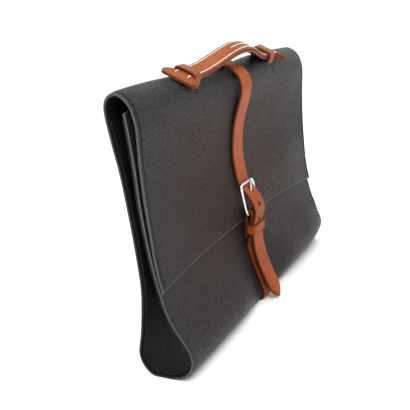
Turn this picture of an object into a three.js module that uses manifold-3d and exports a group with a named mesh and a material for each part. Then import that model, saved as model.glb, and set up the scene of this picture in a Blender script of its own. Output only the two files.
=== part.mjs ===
// A slim leather document case. One leather wrap forms the front panel, the base, the
// back and the flap, two folded gussets close its ends, and a strap runs round the whole
// case to a buckle and a keeper. The handle has two layers, held by two loops that pass
// through slits in the top. Millimetres, +Z up, front towards -Y, the origin on the
// floor under the middle of the case.

import * as THREE from 'three';
import { mergeVertices } from 'three/addons/utils/BufferGeometryUtils.js';
import Module from 'manifold-3d';

const wasm = await Module();
wasm.setup();

// Driving sizes
const caseWidth = 380;
const caseHeight = 281;
const caseDepth = 63;
const wrapWall = 3.2;
const flapSlack = 7;
const crownRise = 3.5;
const cornerPuff = 4;
const strapDent = 35;
const clearance = 0.3;

// Shares of the height where the section changes: the strap's dent closes in below
// pinchLow, the ridge's rise starts at ridgeLow, the bulge gives way to the flap at
// bulgeTop, and the front's lower corner is pushed out about cornerHeight
const pinchLow = 0.1;
const pinchBand = 0.26;
const pinchPower = 2.4;
const ridgeLow = 0.82;
const ridgeBand = 0.14;
const bulgeTop = 0.14;
const bulgeBand = 0.12;
const cornerHeight = 0.04;
const cornerBand = 0.045;
const cornerOut = 0.75;
const cornerDown = 0.65;

const gussetWall = 2.2;
const gussetFold = 22;
const gussetRecess = 1.5;
const gussetSeam = 0.5;

const strapWidth = 25;
const strapWall = 3.2;
const strapStandOff = 4;
const tailLength = 81;
const tailFlare = 18;
const tipLength = 15;
const tipBend = 0.4;
const tipFullness = 0.5;
const holePitch = 18;
const holeDiameter = 4.2;

const buckleBar = 3.5;
const buckleHeight = 36.4;
const buckleHeelHeight = 109.2;
const buckleSideGap = 1;
const heelStandOff = 2.4;
const topBarLift = 1;
const tongueDiameter = 2.6;
const tongueOverhang = 3.5;

const keeperWall = 2;
const keeperWidth = 12;
const keeperDrop = 16.7;
const chapeLength = 29;
const stackEnd = keeperWidth / 2 + 1;
const keeperHeight = buckleHeelHeight - keeperDrop;
const joinBelow = 8;
const joinAbove = 6;

const handleWidth = 20;
const handleLayer = 2.75;
const handleSpan = 178;
const handlePast = 26.5;
const handleSlide = 7;
const handleRise = 17.4;
const handleSkew = 0.14;
const handleFullness = 0.88;
const handleLean = 29;
const handleForward = 2.6;
const tabWidth = 40;
const tabLength = 14;

const loopWidth = 12;
const loopWall = 2.4;
const loopEase = 0.8;
const loopFoot = 4;

const halfWidth = caseWidth / 2;
const halfDepth = caseDepth / 2;
const rowSteps = 2;
const foldSteps = 8;

// The flap from the top roll to its free edge: heights as shares of the case height,
// places from back to front as shares of half the depth, at the ends and in the middle,
// and the slack between the flap and the front panel as a share of flapSlack.
const flapRows = [
  { endZ: 0.932, midZ: 0.932, endY: -0.533, midY: -0.730, endSlack: 0.82, midSlack: 1.43 },
  { endZ: 0.880, midZ: 0.883, endY: -0.575, midY: -0.714, endSlack: 0.93, midSlack: 1.26 },
  { endZ: 0.765, midZ: 0.765, endY: -0.460, midY: -0.360, endSlack: 0.49, midSlack: 0.39 },
  { endZ: 0.640, midZ: 0.640, endY: -0.381, midY: -0.152, endSlack: 0.41, midSlack: 0.06 },
  { endZ: 0.500, midZ: 0.500, endY: -0.343, midY: -0.222, endSlack: 0.22, midSlack: 0.05 },
  { endZ: 0.420, midZ: 0.430, endY: -0.346, midY: -0.265, endSlack: 0.08, midSlack: 0.04 },
  { endZ: 0.338, midZ: 0.367, endY: -0.403, midY: -0.300, endSlack: 0.02, midSlack: 0.02 },
];

// The outside from the front panel below the flap, round the base, up the back and over
// the top roll, as shares of half the depth and of the height, at the ends and the middle.
const outerRows = [
  { endY: -0.410, endZ: 0.258, midY: -0.222, midZ: 0.267 },
  { endY: -0.590, endZ: 0.208, midY: -0.310, midZ: 0.206 },
  { endY: -0.810, endZ: 0.164, midY: -0.415, midZ: 0.155 },
  { endY: -0.978, endZ: 0.126, midY: -0.525, midZ: 0.108 },
  { endY: -1.013, endZ: 0.092, midY: -0.610, midZ: 0.072 },
  { endY: -0.873, endZ: 0.057, midY: -0.660, midZ: 0.038 },
  { endY: -0.571, endZ: 0.020, midY: -0.560, midZ: 0.013 },
  { endY: -0.127, endZ: -0.004, midY: -0.100, midZ: -0.004 },
  { endY: 0.413, endZ: -0.004, midY: 0.340, midZ: -0.004 },
  { endY: 0.778, endZ: 0.015, midY: 0.600, midZ: 0.020 },
  { endY: 0.984, endZ: 0.050, midY: 0.740, midZ: 0.048 },
  { endY: 1.010, endZ: 0.089, midY: 0.760, midZ: 0.085 },
  { endY: 0.889, endZ: 0.128, midY: 0.690, midZ: 0.128 },
  { endY: 0.714, endZ: 0.171, midY: 0.590, midZ: 0.171 },
  { endY: 0.543, endZ: 0.261, midY: 0.470, midZ: 0.260 },
  { endY: 0.422, endZ: 0.376, midY: 0.390, midZ: 0.377 },
  { endY: 0.371, endZ: 0.552, midY: 0.365, midZ: 0.552 },
  { endY: 0.375, endZ: 0.730, midY: 0.365, midZ: 0.730 },
  { endY: 0.441, endZ: 0.840, midY: 0.429, midZ: 0.840 },
  { endY: 0.495, endZ: 0.918, midY: 0.476, midZ: 0.918 },
  { endY: 0.463, endZ: 0.963, midY: 0.444, midZ: 0.963 },
  { endY: 0.286, endZ: 0.991, midY: 0.254, midZ: 0.991 },
  { endY: 0.000, endZ: 1.000, midY: -0.060, midZ: 1.000 },
  { endY: -0.263, endZ: 0.986, midY: -0.350, midZ: 0.984 },
  { endY: -0.454, endZ: 0.959, midY: -0.590, midZ: 0.963 },
];

// How the soft leather changes along the width, from the left end to the right: how far
// the ridge stands up as a share of crownRise, how full the front's lower corner is as a
// share of cornerPuff, and how deep the flap and the front's bulge are beside their rows.
const widthRows = [
  { at: -1.00, ridge: 0.35, corner: 0.20, flap: 1.00, bulge: 1.00 },
  { at: -0.96, ridge: 0.95, corner: 0.90, flap: 1.00, bulge: 1.00 },
  { at: -0.70, ridge: 1.10, corner: 0.90, flap: 1.00, bulge: 1.00 },
  { at: -0.46, ridge: 0.80, corner: 0.70, flap: 1.00, bulge: 1.00 },
  { at: -0.16, ridge: 0.65, corner: 0.45, flap: 1.00, bulge: 1.00 },
  { at: 0.16, ridge: 0.50, corner: 0.25, flap: 1.00, bulge: 1.00 },
  { at: 0.46, ridge: 0.55, corner: 0.05, flap: 1.02, bulge: 1.00 },
  { at: 0.74, ridge: 0.15, corner: 0.00, flap: 1.07, bulge: 0.98 },
  { at: 0.92, ridge: -0.10, corner: -0.15, flap: 1.12, bulge: 0.88 },
  { at: 1.00, ridge: -0.20, corner: -0.25, flap: 1.14, bulge: 0.78 },
];

// Stations along the width, as shares of half of it: the middle ones bound the flat
// stretch that the strap lies on
const strapBed = (strapWidth / 2 + 2) / halfWidth;
const sideShares = [strapBed, 0.19, 0.32, 0.46, 0.6, 0.74, 0.86, 0.94, 1];
const stationShares = [...sideShares.map((share) => -share).reverse(), ...sideShares];

// The gusset from its top edge down to the base: how far it folds inwards, as a share of
// gussetFold, and how square the fold is, from a sharp V to a flat pan.
const gussetRows = [
  { z: 0.922, fold: 1.00, square: 1.5 },
  { z: 0.860, fold: 1.00, square: 1.5 },
  { z: 0.780, fold: 0.98, square: 1.5 },
  { z: 0.690, fold: 0.95, square: 1.5 },
  { z: 0.600, fold: 0.92, square: 1.5 },
  { z: 0.500, fold: 0.86, square: 1.6 },
  { z: 0.420, fold: 0.77, square: 1.7 },
  { z: 0.350, fold: 0.64, square: 1.8 },
  { z: 0.290, fold: 0.52, square: 2.0 },
  { z: 0.240, fold: 0.42, square: 2.2 },
  { z: 0.190, fold: 0.32, square: 2.6 },
  { z: 0.150, fold: 0.26, square: 3.0 },
  { z: 0.115, fold: 0.22, square: 3.2 },
  { z: 0.085, fold: 0.20, square: 3.5 },
  { z: 0.060, fold: 0.18, square: 3.5 },
  { z: 0.040, fold: 0.17, square: 3.5 },
  { z: 0.025, fold: 0.16, square: 3.5 },
];
const gussetColumns = 12;

// How far the strap stands off the front of the roll, as a share of strapStandOff, at
// heights that are shares of the case height
const bendRows = [
  { z: 1.010, out: 0.10 },
  { z: 0.985, out: 0.60 },
  { z: 0.944, out: 1.00 },
  { z: 0.905, out: 0.90 },
  { z: 0.860, out: 0.55 },
  { z: 0.800, out: 0.20 },
  { z: 0.740, out: 0.00 },
];

// The strap's free end below the keeper: down as shares of tailLength, out as shares of
// tailFlare, both from the keeper's lower edge.
const tailRows = [
  { down: 0.18, out: -0.03 },
  { down: 0.34, out: 0.05 },
  { down: 0.50, out: 0.20 },
  { down: 0.66, out: 0.42 },
  { down: 0.83, out: 0.70 },
  { down: 1.00, out: 0.98 },
];

// The strap's belly between the top bar and the heel bar: height as a share of the
// buckle's height above the heel, place as a share of the way out to the heel's stack.
const bellyRows = [
  { up: 0.74, out: 0.46 },
  { up: 0.56, out: 0.74 },
  { up: 0.38, out: 0.96 },
  { up: 0.20, out: 1.08 },
  { up: 0.02, out: 1.07 },
  { up: -0.16, out: 0.88 },
];

// The tongue's arm between its hook and the top bar: height as a share of the buckle's,
// place as a share of the way from the hook's front to the rest on the top bar.
const armRows = [
  { up: 0.4, out: 0.3 },
  { up: 0.8, out: 0.8 },
  { up: 1.0, out: 1.0 },
];

// The row of outerRows where the base meets the floor, counted from 0
const baseRow = 7;

// The handle's tab, from where it widens to its end: along as a share of tabLength, half
// as a share of the way from the handle's half width to the tab's.
const tabRows = [
  { along: 0.00, half: 0.00 },
  { along: 0.22, half: 0.40 },
  { along: 0.42, half: 0.86 },
  { along: 0.62, half: 1.00 },
  { along: 0.78, half: 0.95 },
  { along: 0.91, half: 0.76 },
  { along: 1.00, half: 0.36 },
];

const colours = {
  caseLeather: new THREE.Color(0x454143),
  gussetLeather: new THREE.Color(0x2b2a2c),
  tanLeather: new THREE.Color(0xb5694a),
  metal: new THREE.Color(0xd4d4d6),
};

function mix(a, b, t) {
  return a + (b - a) * t;
}

function ease(t) {
  const s = Math.min(Math.max(t, 0), 1);
  return s * s * (3 - 2 * s);
}

// How far a section at share u of the half width, at share h of the height, has gone
// from the end shape to the middle shape: wide higher up, close to the strap at the base.
function pinch(u, h) {
  const out = Math.max(Math.abs(u) - strapBed, 0);
  const wide = 1 - Math.pow(out / (1 - strapBed), pinchPower);
  const close = Math.exp(-Math.pow(out * halfWidth / strapDent, 2));
  return mix(close, wide, ease((h - pinchLow) / pinchBand));
}

// A column of widthRows at share u of the half width
function alongWidth(u, column) {
  const k = Math.max(widthRows.findIndex((row) => row.at >= u), 1);
  const before = widthRows[k - 1];
  const after = widthRows[k];
  return mix(before[column], after[column], (u - before.at) / (after.at - before.at));
}

// How free of the strap's pull the leather is at share u, from 0 under the strap to 1
function freeOfStrap(u) {
  const out = Math.max(Math.abs(u) - strapBed, 0) * halfWidth;
  return 1 - Math.exp(-Math.pow(out / strapDent, 2));
}

// The ridge's height above the rows
function crown(u, h) {
  return crownRise * alongWidth(u, 'ridge') * freeOfStrap(u) * ease((h - ridgeLow) / ridgeBand);
}

// How deep the front is at share u and height h: the flap's column above, the bulge's below
function frontDepth(u, h) {
  return mix(alongWidth(u, 'bulge'), alongWidth(u, 'flap'), ease((h - bulgeTop) / bulgeBand));
}

// How far the front's lower corner is pushed out and down
function cornerPush(u, y, h) {
  const near = Math.exp(-Math.pow((h - cornerHeight) / cornerBand, 2));
  const full = cornerPuff * alongWidth(u, 'corner') * freeOfStrap(u);
  return y < 0 ? full * near * Math.min(-2 * y, 1) : 0;
}

// The base clears the strap that runs under it
function baseLift(u) {
  const away = (Math.abs(u) - strapBed) * halfWidth / strapDent;
  return (strapWall + clearance) * (1 - ease(away));
}

// The outside of the wrap in the Y-Z plane, from the front panel's top edge, down under
// the flap, round the base, up the back and over the roll to the flap's free edge
function outerPath(u) {
  const flap = flapRows.map((row) => {
    const t = pinch(u, row.endZ);
    const z = mix(row.endZ, row.midZ, t);
    return {
      y: mix(row.endY, row.midY, t) * halfDepth * frontDepth(u, z),
      z: z * caseHeight + crown(u, z),
      slack: clearance + mix(row.endSlack, row.midSlack, t) * flapSlack,
    };
  });
  const panel = flap.map((p) => new THREE.Vector2(p.y + wrapWall + p.slack, p.z));
  const outer = outerRows.map((row) => {
    const t = pinch(u, row.endZ);
    const z = mix(row.endZ, row.midZ, t);
    const y = mix(row.endY, row.midY, t);
    const push = cornerPush(u, y, z);
    const deep = y < 0 ? frontDepth(u, z) : 1;
    return new THREE.Vector2(
      y * halfDepth * deep - push * cornerOut,
      z * caseHeight + crown(u, z) - push * cornerDown,
    );
  });
  const points = [...panel, ...outer, ...flap.map((p) => new THREE.Vector2(p.y, p.z))];
  const curve = new THREE.SplineCurve(points);
  const path = curve.getPoints((points.length - 1) * rowSteps);
  path.forEach((p) => {
    p.y = Math.max(p.y, baseLift(u));
  });
  return path;
}

// Unit normals of a path in its plane, to the right of its direction
function pathNormals(path) {
  return path.map((p, i) => {
    const before = path[Math.max(i - 1, 0)];
    const after = path[Math.min(i + 1, path.length - 1)];
    const d = after.clone().sub(before).normalize();
    return new THREE.Vector2(d.y, -d.x);
  });
}

// A path moved along its normals, outwards for a positive distance
function offsetPath(path, distance) {
  const normals = pathNormals(path);
  return path.map((p, i) => p.clone().addScaledVector(normals[i], distance));
}

const sectionCache = new Map();

// The outer and inner lines of the wrap at share u of the half width
function section(u) {
  if (!sectionCache.has(u)) {
    const outer = outerPath(u);
    sectionCache.set(u, { outer, inner: offsetPath(outer, -wrapWall) });
  }
  return sectionCache.get(u);
}

// Where a line that runs down or up in the Y-Z plane passes a height
function yAtHeight(path, z) {
  for (let i = 0; i < path.length - 1; i += 1) {
    const a = path[i];
    const b = path[i + 1];
    if ((a.y - z) * (b.y - z) <= 0 && a.y !== b.y) {
      return mix(a.x, b.x, (z - a.y) / (b.y - a.y));
    }
  }
  return path[path.length - 1].x;
}

const panelCount = flapRows.length * rowSteps;
const baseIndex = (flapRows.length + baseRow) * rowSteps;

// Between two stations the wrap's faces are flat, so its inside is read the same way
function innerFaces(x, z) {
  const u = Math.min(Math.max(x / halfWidth, -1), 1);
  let k = 0;
  while (k < stationShares.length - 2 && stationShares[k + 1] < u) {
    k += 1;
  }
  const t = (u - stationShares[k]) / (stationShares[k + 1] - stationShares[k]);
  const faces = [stationShares[k], stationShares[k + 1]].map((share) => {
    const line = section(share).inner;
    return {
      front: yAtHeight(line.slice(0, baseIndex + 1), z),
      back: yAtHeight(line.slice(baseIndex + 1), z),
    };
  });
  return {
    front: mix(faces[0].front, faces[1].front, t),
    back: mix(faces[0].back, faces[1].back, t),
  };
}

// A closed body from a grid of rows of points on each of its two faces: the rows of the
// second face lie under those of the first, and the four edges are closed
function slab(top, bottom) {
  const rows = top.length;
  const cols = top[0].length;
  const positions = [...top.flat(), ...bottom.flat()].flatMap((p) => [p.x, p.y, p.z]);
  const index = [];
  const at = (side, i, j) => side * rows * cols + i * cols + j;
  const quad = (a, b, c, d) => index.push(a, b, c, a, c, d);
  for (let i = 0; i < rows - 1; i += 1) {
    for (let j = 0; j < cols - 1; j += 1) {
      quad(at(0, i, j), at(0, i, j + 1), at(0, i + 1, j + 1), at(0, i + 1, j));
      quad(at(1, i, j), at(1, i + 1, j), at(1, i + 1, j + 1), at(1, i, j + 1));
    }
  }
  for (let i = 0; i < rows - 1; i += 1) {
    quad(at(0, i, 0), at(0, i + 1, 0), at(1, i + 1, 0), at(1, i, 0));
    quad(at(0, i + 1, cols - 1), at(0, i, cols - 1), at(1, i, cols - 1), at(1, i + 1, cols - 1));
  }
  for (let j = 0; j < cols - 1; j += 1) {
    quad(at(0, 0, j + 1), at(0, 0, j), at(1, 0, j), at(1, 0, j + 1));
    quad(at(0, rows - 1, j), at(0, rows - 1, j + 1), at(1, rows - 1, j + 1), at(1, rows - 1, j));
  }
  return closedGeometry(positions, index);
}

// A geometry from positions and an index, turned inside out if its volume is negative
function closedGeometry(positions, index) {
  let volume = 0;
  const v = (i) => new THREE.Vector3(...positions.slice(3 * i, 3 * i + 3));
  for (let i = 0; i < index.length; i += 3) {
    volume += v(index[i]).dot(v(index[i + 1]).cross(v(index[i + 2])));
  }
  if (volume < 0) {
    for (let i = 0; i < index.length; i += 3) {
      [index[i], index[i + 1]] = [index[i + 1], index[i]];
    }
  }
  const geometry = new THREE.BufferGeometry();
  geometry.setAttribute('position', new THREE.Float32BufferAttribute(positions, 3));
  geometry.setIndex(index);
  return geometry;
}

function toSolid(geometry) {
  const bare = geometry.clone();
  bare.deleteAttribute('normal');
  bare.deleteAttribute('uv');
  const merged = mergeVertices(bare, 1e-4);
  return new wasm.Manifold(new wasm.Mesh({
    numProp: 3,
    vertProperties: new Float32Array(merged.attributes.position.array),
    triVerts: new Uint32Array(merged.index.array),
  }));
}

function toGeometry(solid) {
  const mesh = solid.getMesh();
  const geometry = new THREE.BufferGeometry();
  geometry.setAttribute('position', new THREE.BufferAttribute(new Float32Array(mesh.vertProperties), 3));
  geometry.setIndex(new THREE.BufferAttribute(new Uint32Array(mesh.triVerts), 1));
  return geometry;
}

// A shape drawn in Y and Z, extruded along X about the place given
function extrudeAlongX(shape, width, centreX = 0) {
  const geometry = new THREE.ExtrudeGeometry(shape, { depth: width, bevelEnabled: false, curveSegments: 6 });
  geometry.translate(0, 0, -width / 2);
  geometry.applyMatrix4(new THREE.Matrix4().set(0, 0, 1, centreX, 1, 0, 0, 0, 0, 1, 0, 0, 0, 0, 0, 1));
  return geometry;
}

// A band of even thickness along a middle line in Y and Z
function bandShape(line, thickness) {
  const left = offsetPath(line, thickness / 2);
  const right = offsetPath(line, -thickness / 2).reverse();
  return new THREE.Shape([...left, ...right]);
}

// A round rod along a line of points, closed on itself or with flat ends
function rod(points, radius, sides, closed) {
  const count = points.length;
  const positions = [];
  const index = [];
  points.forEach((p, i) => {
    const before = closed ? points[(i + count - 1) % count] : points[Math.max(i - 1, 0)];
    const after = closed ? points[(i + 1) % count] : points[Math.min(i + 1, count - 1)];
    const along = after.clone().sub(before).normalize();
    const side = new THREE.Vector3(0, 1, 0.15);
    const first = side.clone().addScaledVector(along, -side.dot(along)).normalize();
    if (!closed) {
      first.set(1, 0, 0);
    }
    const second = along.clone().cross(first);
    for (let j = 0; j < sides; j += 1) {
      const angle = (j + 0.5) / sides * 2 * Math.PI;
      const q = p.clone().addScaledVector(first, radius * Math.cos(angle));
      q.addScaledVector(second, radius * Math.sin(angle));
      positions.push(q.x, q.y, q.z);
    }
  });
  const rings = closed ? count : count - 1;
  for (let i = 0; i < rings; i += 1) {
    for (let j = 0; j < sides; j += 1) {
      const a = i * sides + j;
      const b = i * sides + (j + 1) % sides;
      const c = (i + 1) % count * sides + (j + 1) % sides;
      const d = (i + 1) % count * sides + j;
      index.push(a, b, c, a, c, d);
    }
  }
  if (!closed) {
    for (let j = 1; j < sides - 1; j += 1) {
      const last = (count - 1) * sides;
      index.push(0, j + 1, j, last, last + j, last + j + 1);
    }
  }
  return closedGeometry(positions, index);
}

function makeMesh(name, geometry, colour, roughness, metalness = 0) {
  const material = new THREE.MeshStandardMaterial({ color: colour, roughness, metalness });
  const mesh = new THREE.Mesh(geometry, material);
  mesh.name = name;
  return mesh;
}

// Places across the strap's stack, in the middle of the case. The case's front there is
// the flap down to its edge and the front panel below it.
const middle = section(strapBed);
const flapStart = middle.outer.length - flapRows.length * rowSteps;
const flapLine = middle.outer.slice(flapStart);
const frontLine = middle.outer.slice(0, baseIndex + 1);
const halfStrap = strapWall / 2;
const barRadius = buckleBar / 2;
const foldRadius = barRadius + clearance + halfStrap;

const heelBar = new THREE.Vector2(
  yAtHeight(flapLine, buckleHeelHeight) - clearance - heelStandOff - strapWall - clearance - barRadius,
  buckleHeelHeight,
);
const topBarHeight = buckleHeelHeight + buckleHeight;
const topBar = new THREE.Vector2(
  yAtHeight(flapLine, topBarHeight) - 2 * clearance - strapWall - topBarLift - barRadius,
  topBarHeight,
);

// The turned end behind the heel bar runs straight down to the front panel
const chapeTop = new THREE.Vector2(heelBar.x + foldRadius, heelBar.y);
const chapeFootHeight = buckleHeelHeight - chapeLength;
const chapeFoot = new THREE.Vector2(
  yAtHeight(frontLine, chapeFootHeight) - clearance - halfStrap,
  chapeFootHeight,
);
const stackDown = chapeFoot.clone().sub(chapeTop).normalize();
const stackOut = new THREE.Vector2(stackDown.y, -stackDown.x);
const stackTilt = Math.atan2(stackDown.x, -stackDown.y);

// A point on the stack of straps: height along it and distance out from the turned end
function stackPoint(height, out) {
  const base = chapeTop.clone().addScaledVector(stackDown, (chapeTop.y - height) / -stackDown.y);
  return base.addScaledVector(stackOut, out);
}
const mainOut = strapWall + 2 * clearance + keeperWall;
const tailOut = mainOut + strapWall + clearance;

function bendShare(h) {
  const k = bendRows.findIndex((row) => row.z <= h);
  if (k <= 0) {
    return k === 0 ? bendRows[0].out : 0;
  }
  const t = (h - bendRows[k].z) / (bendRows[k - 1].z - bendRows[k].z);
  return mix(bendRows[k].out, bendRows[k - 1].out, t);
}

// The strap's middle line, from its turned end behind the buckle, over the heel bar, down
// the front, under the base, up the back, over the ridge and down the front again
function strapLine() {
  const line = [chapeFoot.clone(), chapeTop.clone()];
  for (let i = 1; i < foldSteps; i += 1) {
    const angle = i / foldSteps * Math.PI;
    line.push(new THREE.Vector2(
      heelBar.x + foldRadius * Math.cos(angle),
      heelBar.y + foldRadius * Math.sin(angle),
    ));
  }
  line.push(new THREE.Vector2(heelBar.x - foldRadius, heelBar.y));
  const keeperTop = keeperHeight + stackEnd;
  const keeperFoot = keeperHeight - stackEnd;
  line.push(stackPoint(keeperTop, mainOut));
  line.push(stackPoint(keeperFoot, mainOut));

  const normals = pathNormals(middle.outer);
  const around = middle.outer.map((p, i) => {
    const free = i > baseIndex && p.x < 0 ? bendShare(p.y / caseHeight) * strapStandOff : 0;
    return p.clone().addScaledVector(normals[i], clearance + halfStrap + free);
  });
  line.push(...around.slice(panelCount, baseIndex + 1).filter((p) => p.y < chapeFootHeight - joinBelow));
  line.push(...around.slice(baseIndex + 1, flapStart));
  line.push(...around.slice(flapStart).filter((p) => p.y > topBarHeight + joinAbove));

  const around45 = (foldRadius + clearance) * Math.SQRT1_2;
  const behindBar = new THREE.Vector2(topBar.x + foldRadius, topBar.y);
  const underBar = new THREE.Vector2(topBar.x + around45, topBar.y - around45);
  const heelOut = heelBar.x - foldRadius - strapWall - clearance;
  const belly = bellyRows.map((row) => new THREE.Vector2(
    mix(behindBar.x, heelOut, row.out),
    heelBar.y + row.up * buckleHeight,
  ));
  const window = new THREE.SplineCurve([behindBar, underBar, ...belly, stackPoint(keeperTop, tailOut)]);
  line.push(...window.getPoints((belly.length + 2) * 2));

  const tailTop = stackPoint(keeperFoot, tailOut);
  const tail = new THREE.SplineCurve([
    tailTop,
    ...tailRows.map((row) => new THREE.Vector2(tailTop.x - row.out * tailFlare, tailTop.y - row.down * tailLength)),
  ]);
  line.push(...tail.getPoints(tailRows.length * 2));
  return line;
}

// The tongue's middle line: hooked round the heel bar, up behind the strap, out through
// its hole and over the top bar
const tongueRadius = tongueDiameter / 2;
const hookFrom = 60;
const hookTo = 300;
const hookSteps = 10;
function tongueLine() {
  const hook = barRadius + clearance + tongueRadius;
  const points = [];
  for (let i = 0; i <= hookSteps; i += 1) {
    const angle = mix(hookFrom, hookTo, i / hookSteps) * Math.PI / 180;
    points.push(new THREE.Vector3(0, heelBar.x + hook * Math.cos(angle), heelBar.y + hook * Math.sin(angle)));
  }
  points.reverse();
  const front = points.findIndex((p) => p.z > heelBar.y);
  const rest = topBar.x - barRadius - clearance - tongueRadius;
  const arm = points.slice(0, front);
  arm.push(new THREE.Vector3(0, heelBar.x - hook, heelBar.y + tongueRadius));
  armRows.forEach(({ up, out }) => {
    arm.push(new THREE.Vector3(0, mix(heelBar.x - hook, rest, out), mix(heelBar.y, topBar.y, up)));
  });
  arm.push(new THREE.Vector3(0, rest + clearance, topBar.y + tongueOverhang));
  return arm;
}

// The strap's holes: one that the tongue leaves through, and two more below it, each a
// pin that is cut away along X's plane of symmetry
function holePin(centre, direction, radius, length) {
  const pin = new THREE.CylinderGeometry(radius, radius, length, 12);
  const turn = new THREE.Quaternion().setFromUnitVectors(new THREE.Vector3(0, 1, 0), direction);
  pin.applyQuaternion(turn);
  pin.translate(centre.x, centre.y, centre.z);
  return toSolid(pin);
}

// The part of a line between two heights or, from an index on, at set distances along it
function alongLine(line, from, distances) {
  const places = [];
  let done = 0;
  for (let i = from; i < line.length - 1; i += 1) {
    const step = line[i].distanceTo(line[i + 1]);
    while (places.length < distances.length && distances[places.length] <= done + step) {
      const p = line[i].clone().lerp(line[i + 1], (distances[places.length] - done) / step);
      const d = line[i + 1].clone().sub(line[i]).normalize();
      places.push({ centre: new THREE.Vector3(0, p.x, p.y), out: new THREE.Vector3(0, d.y, -d.x) });
    }
    done += step;
  }
  return places;
}

function makeStrap(line, tongue) {
  let strap = toSolid(extrudeAlongX(bandShape(line, strapWall), strapWidth));
  const hookFoot = heelBar.y - barRadius - tongueDiameter - 2 * clearance;
  const fold = line.slice(0, foldSteps + 3).map((p, i, all) => {
    const ends = [all[1], all[all.length - 2]];
    const other = ends[i === 0 ? 0 : 1];
    const t = i === 0 || i === all.length - 1 ? (hookFoot - p.y) / (other.y - p.y) : 0;
    return p.clone().lerp(other, t);
  });
  const slotWidth = tongueDiameter + 4 * clearance;
  strap = strap.subtract(toSolid(extrudeAlongX(bandShape(fold, strapWall + clearance), slotWidth)));

  const arm = tongue.slice(-4);
  const direction = arm[2].clone().sub(arm[0]).normalize();
  const centre = arm[1].clone().lerp(arm[0], 0.2);
  strap = strap.subtract(holePin(centre, direction, tongueRadius + 2 * clearance, buckleHeight * 0.5));

  const crossing = line.findIndex((p, i) => i > line.length / 2 && p.y < centre.z);
  for (const { centre: at, out } of alongLine(line, crossing, [holePitch, 2 * holePitch])) {
    strap = strap.subtract(holePin(at, out, holeDiameter / 2, strapWall + 1.5 * clearance));
  }
  return toGeometry(strap.subtract(tipCutter(line[line.length - 1])));
}

// What is cut away beside the rounded point of the strap's free end, in X and Z
function tipCutter(end) {
  const side = strapWidth / 2;
  const beyond = side + 1;
  const shoulder = end.y + tipLength;
  const point = end.y + clearance;
  const bend = end.y + tipLength * tipBend;
  const shape = new THREE.Shape();
  shape.moveTo(-beyond, end.y - strapWall);
  shape.lineTo(beyond, end.y - strapWall);
  shape.lineTo(beyond, shoulder);
  shape.lineTo(side, shoulder);
  shape.bezierCurveTo(side, bend, side * tipFullness, point, 0, point);
  shape.bezierCurveTo(-side * tipFullness, point, -side, bend, -side, shoulder);
  shape.lineTo(-beyond, shoulder);
  shape.closePath();
  const block = new THREE.ExtrudeGeometry(shape, { depth: tailFlare, bevelEnabled: false, curveSegments: 6 });
  block.rotateX(Math.PI / 2);
  block.translate(0, end.x + tailFlare / 2, 0);
  return toSolid(block);
}

// The frame's outline seen from the front, a rounded rectangle, laid in the plane of its
// two bars, with the top bar a little arched
function makeBuckleFrame() {
  const half = strapWidth / 2 + buckleSideGap + barRadius;
  const outline = new THREE.Shape();
  const r = buckleSideGap + barRadius;
  outline.moveTo(-half + r, 0);
  outline.lineTo(half - r, 0);
  outline.quadraticCurveTo(half, 0, half, r);
  outline.lineTo(half, buckleHeight - r);
  outline.quadraticCurveTo(half, buckleHeight, half - r, buckleHeight);
  outline.lineTo(-half + r, buckleHeight);
  outline.quadraticCurveTo(-half, buckleHeight, -half, buckleHeight - r);
  outline.lineTo(-half, r);
  outline.quadraticCurveTo(-half, 0, -half + r, 0);
  const flat = outline.getPoints(5).slice(0, -1);
  const points = flat.map((p) => {
    const share = p.y / buckleHeight;
    return new THREE.Vector3(p.x, mix(heelBar.x, topBar.x, share), heelBar.y + p.y);
  });
  return rod(points, barRadius, 10, true);
}

// A flat leather band round the straps, with an inside just larger than the stack
function makeKeeper() {
  const inX = strapWidth / 2 + clearance;
  const inLow = mainOut - halfStrap - clearance;
  const inHigh = tailOut + halfStrap + clearance;
  const ring = (grow, radius) => {
    const path = new THREE.Shape();
    const x = inX + grow;
    const low = inLow - grow;
    const high = inHigh + grow;
    path.moveTo(-x + radius, low);
    path.lineTo(x - radius, low);
    path.quadraticCurveTo(x, low, x, low + radius);
    path.lineTo(x, high - radius);
    path.quadraticCurveTo(x, high, x - radius, high);
    path.lineTo(-x + radius, high);
    path.quadraticCurveTo(-x, high, -x, high - radius);
    path.lineTo(-x, low + radius);
    path.quadraticCurveTo(-x, low, -x + radius, low);
    return path;
  };
  const outer = ring(keeperWall, keeperWall);
  outer.holes.push(ring(0, clearance / 2));
  const band = new THREE.ExtrudeGeometry(outer, { depth: keeperWidth, bevelEnabled: false, curveSegments: 3 });
  band.translate(0, 0, -keeperWidth / 2);
  const x = new THREE.Vector3(1, 0, 0);
  const out = new THREE.Vector3(0, stackOut.x, stackOut.y);
  const along = x.clone().cross(out);
  const place = stackPoint(keeperHeight, 0);
  const matrix = new THREE.Matrix4().makeBasis(x, out, along);
  matrix.setPosition(0, place.x, place.y);
  band.applyMatrix4(matrix);
  return toGeometry(toSolid(band));
}

// The handle leans forward on the roll: across points forward and down, up points away
// from the roll, and the roll's reach is how far it stands out that way at the loops
const lean = handleLean * Math.PI / 180;
const handleAcross = new THREE.Vector2(-Math.cos(lean), -Math.sin(lean));
const handleUp = new THREE.Vector2(-Math.sin(lean), Math.cos(lean));
const rollCentre = new THREE.Vector2(0, caseHeight - halfDepth * 0.5);
const loopPlace = handleSpan / 2;
const handleEnd = handleSpan / 2 + handlePast;

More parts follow.
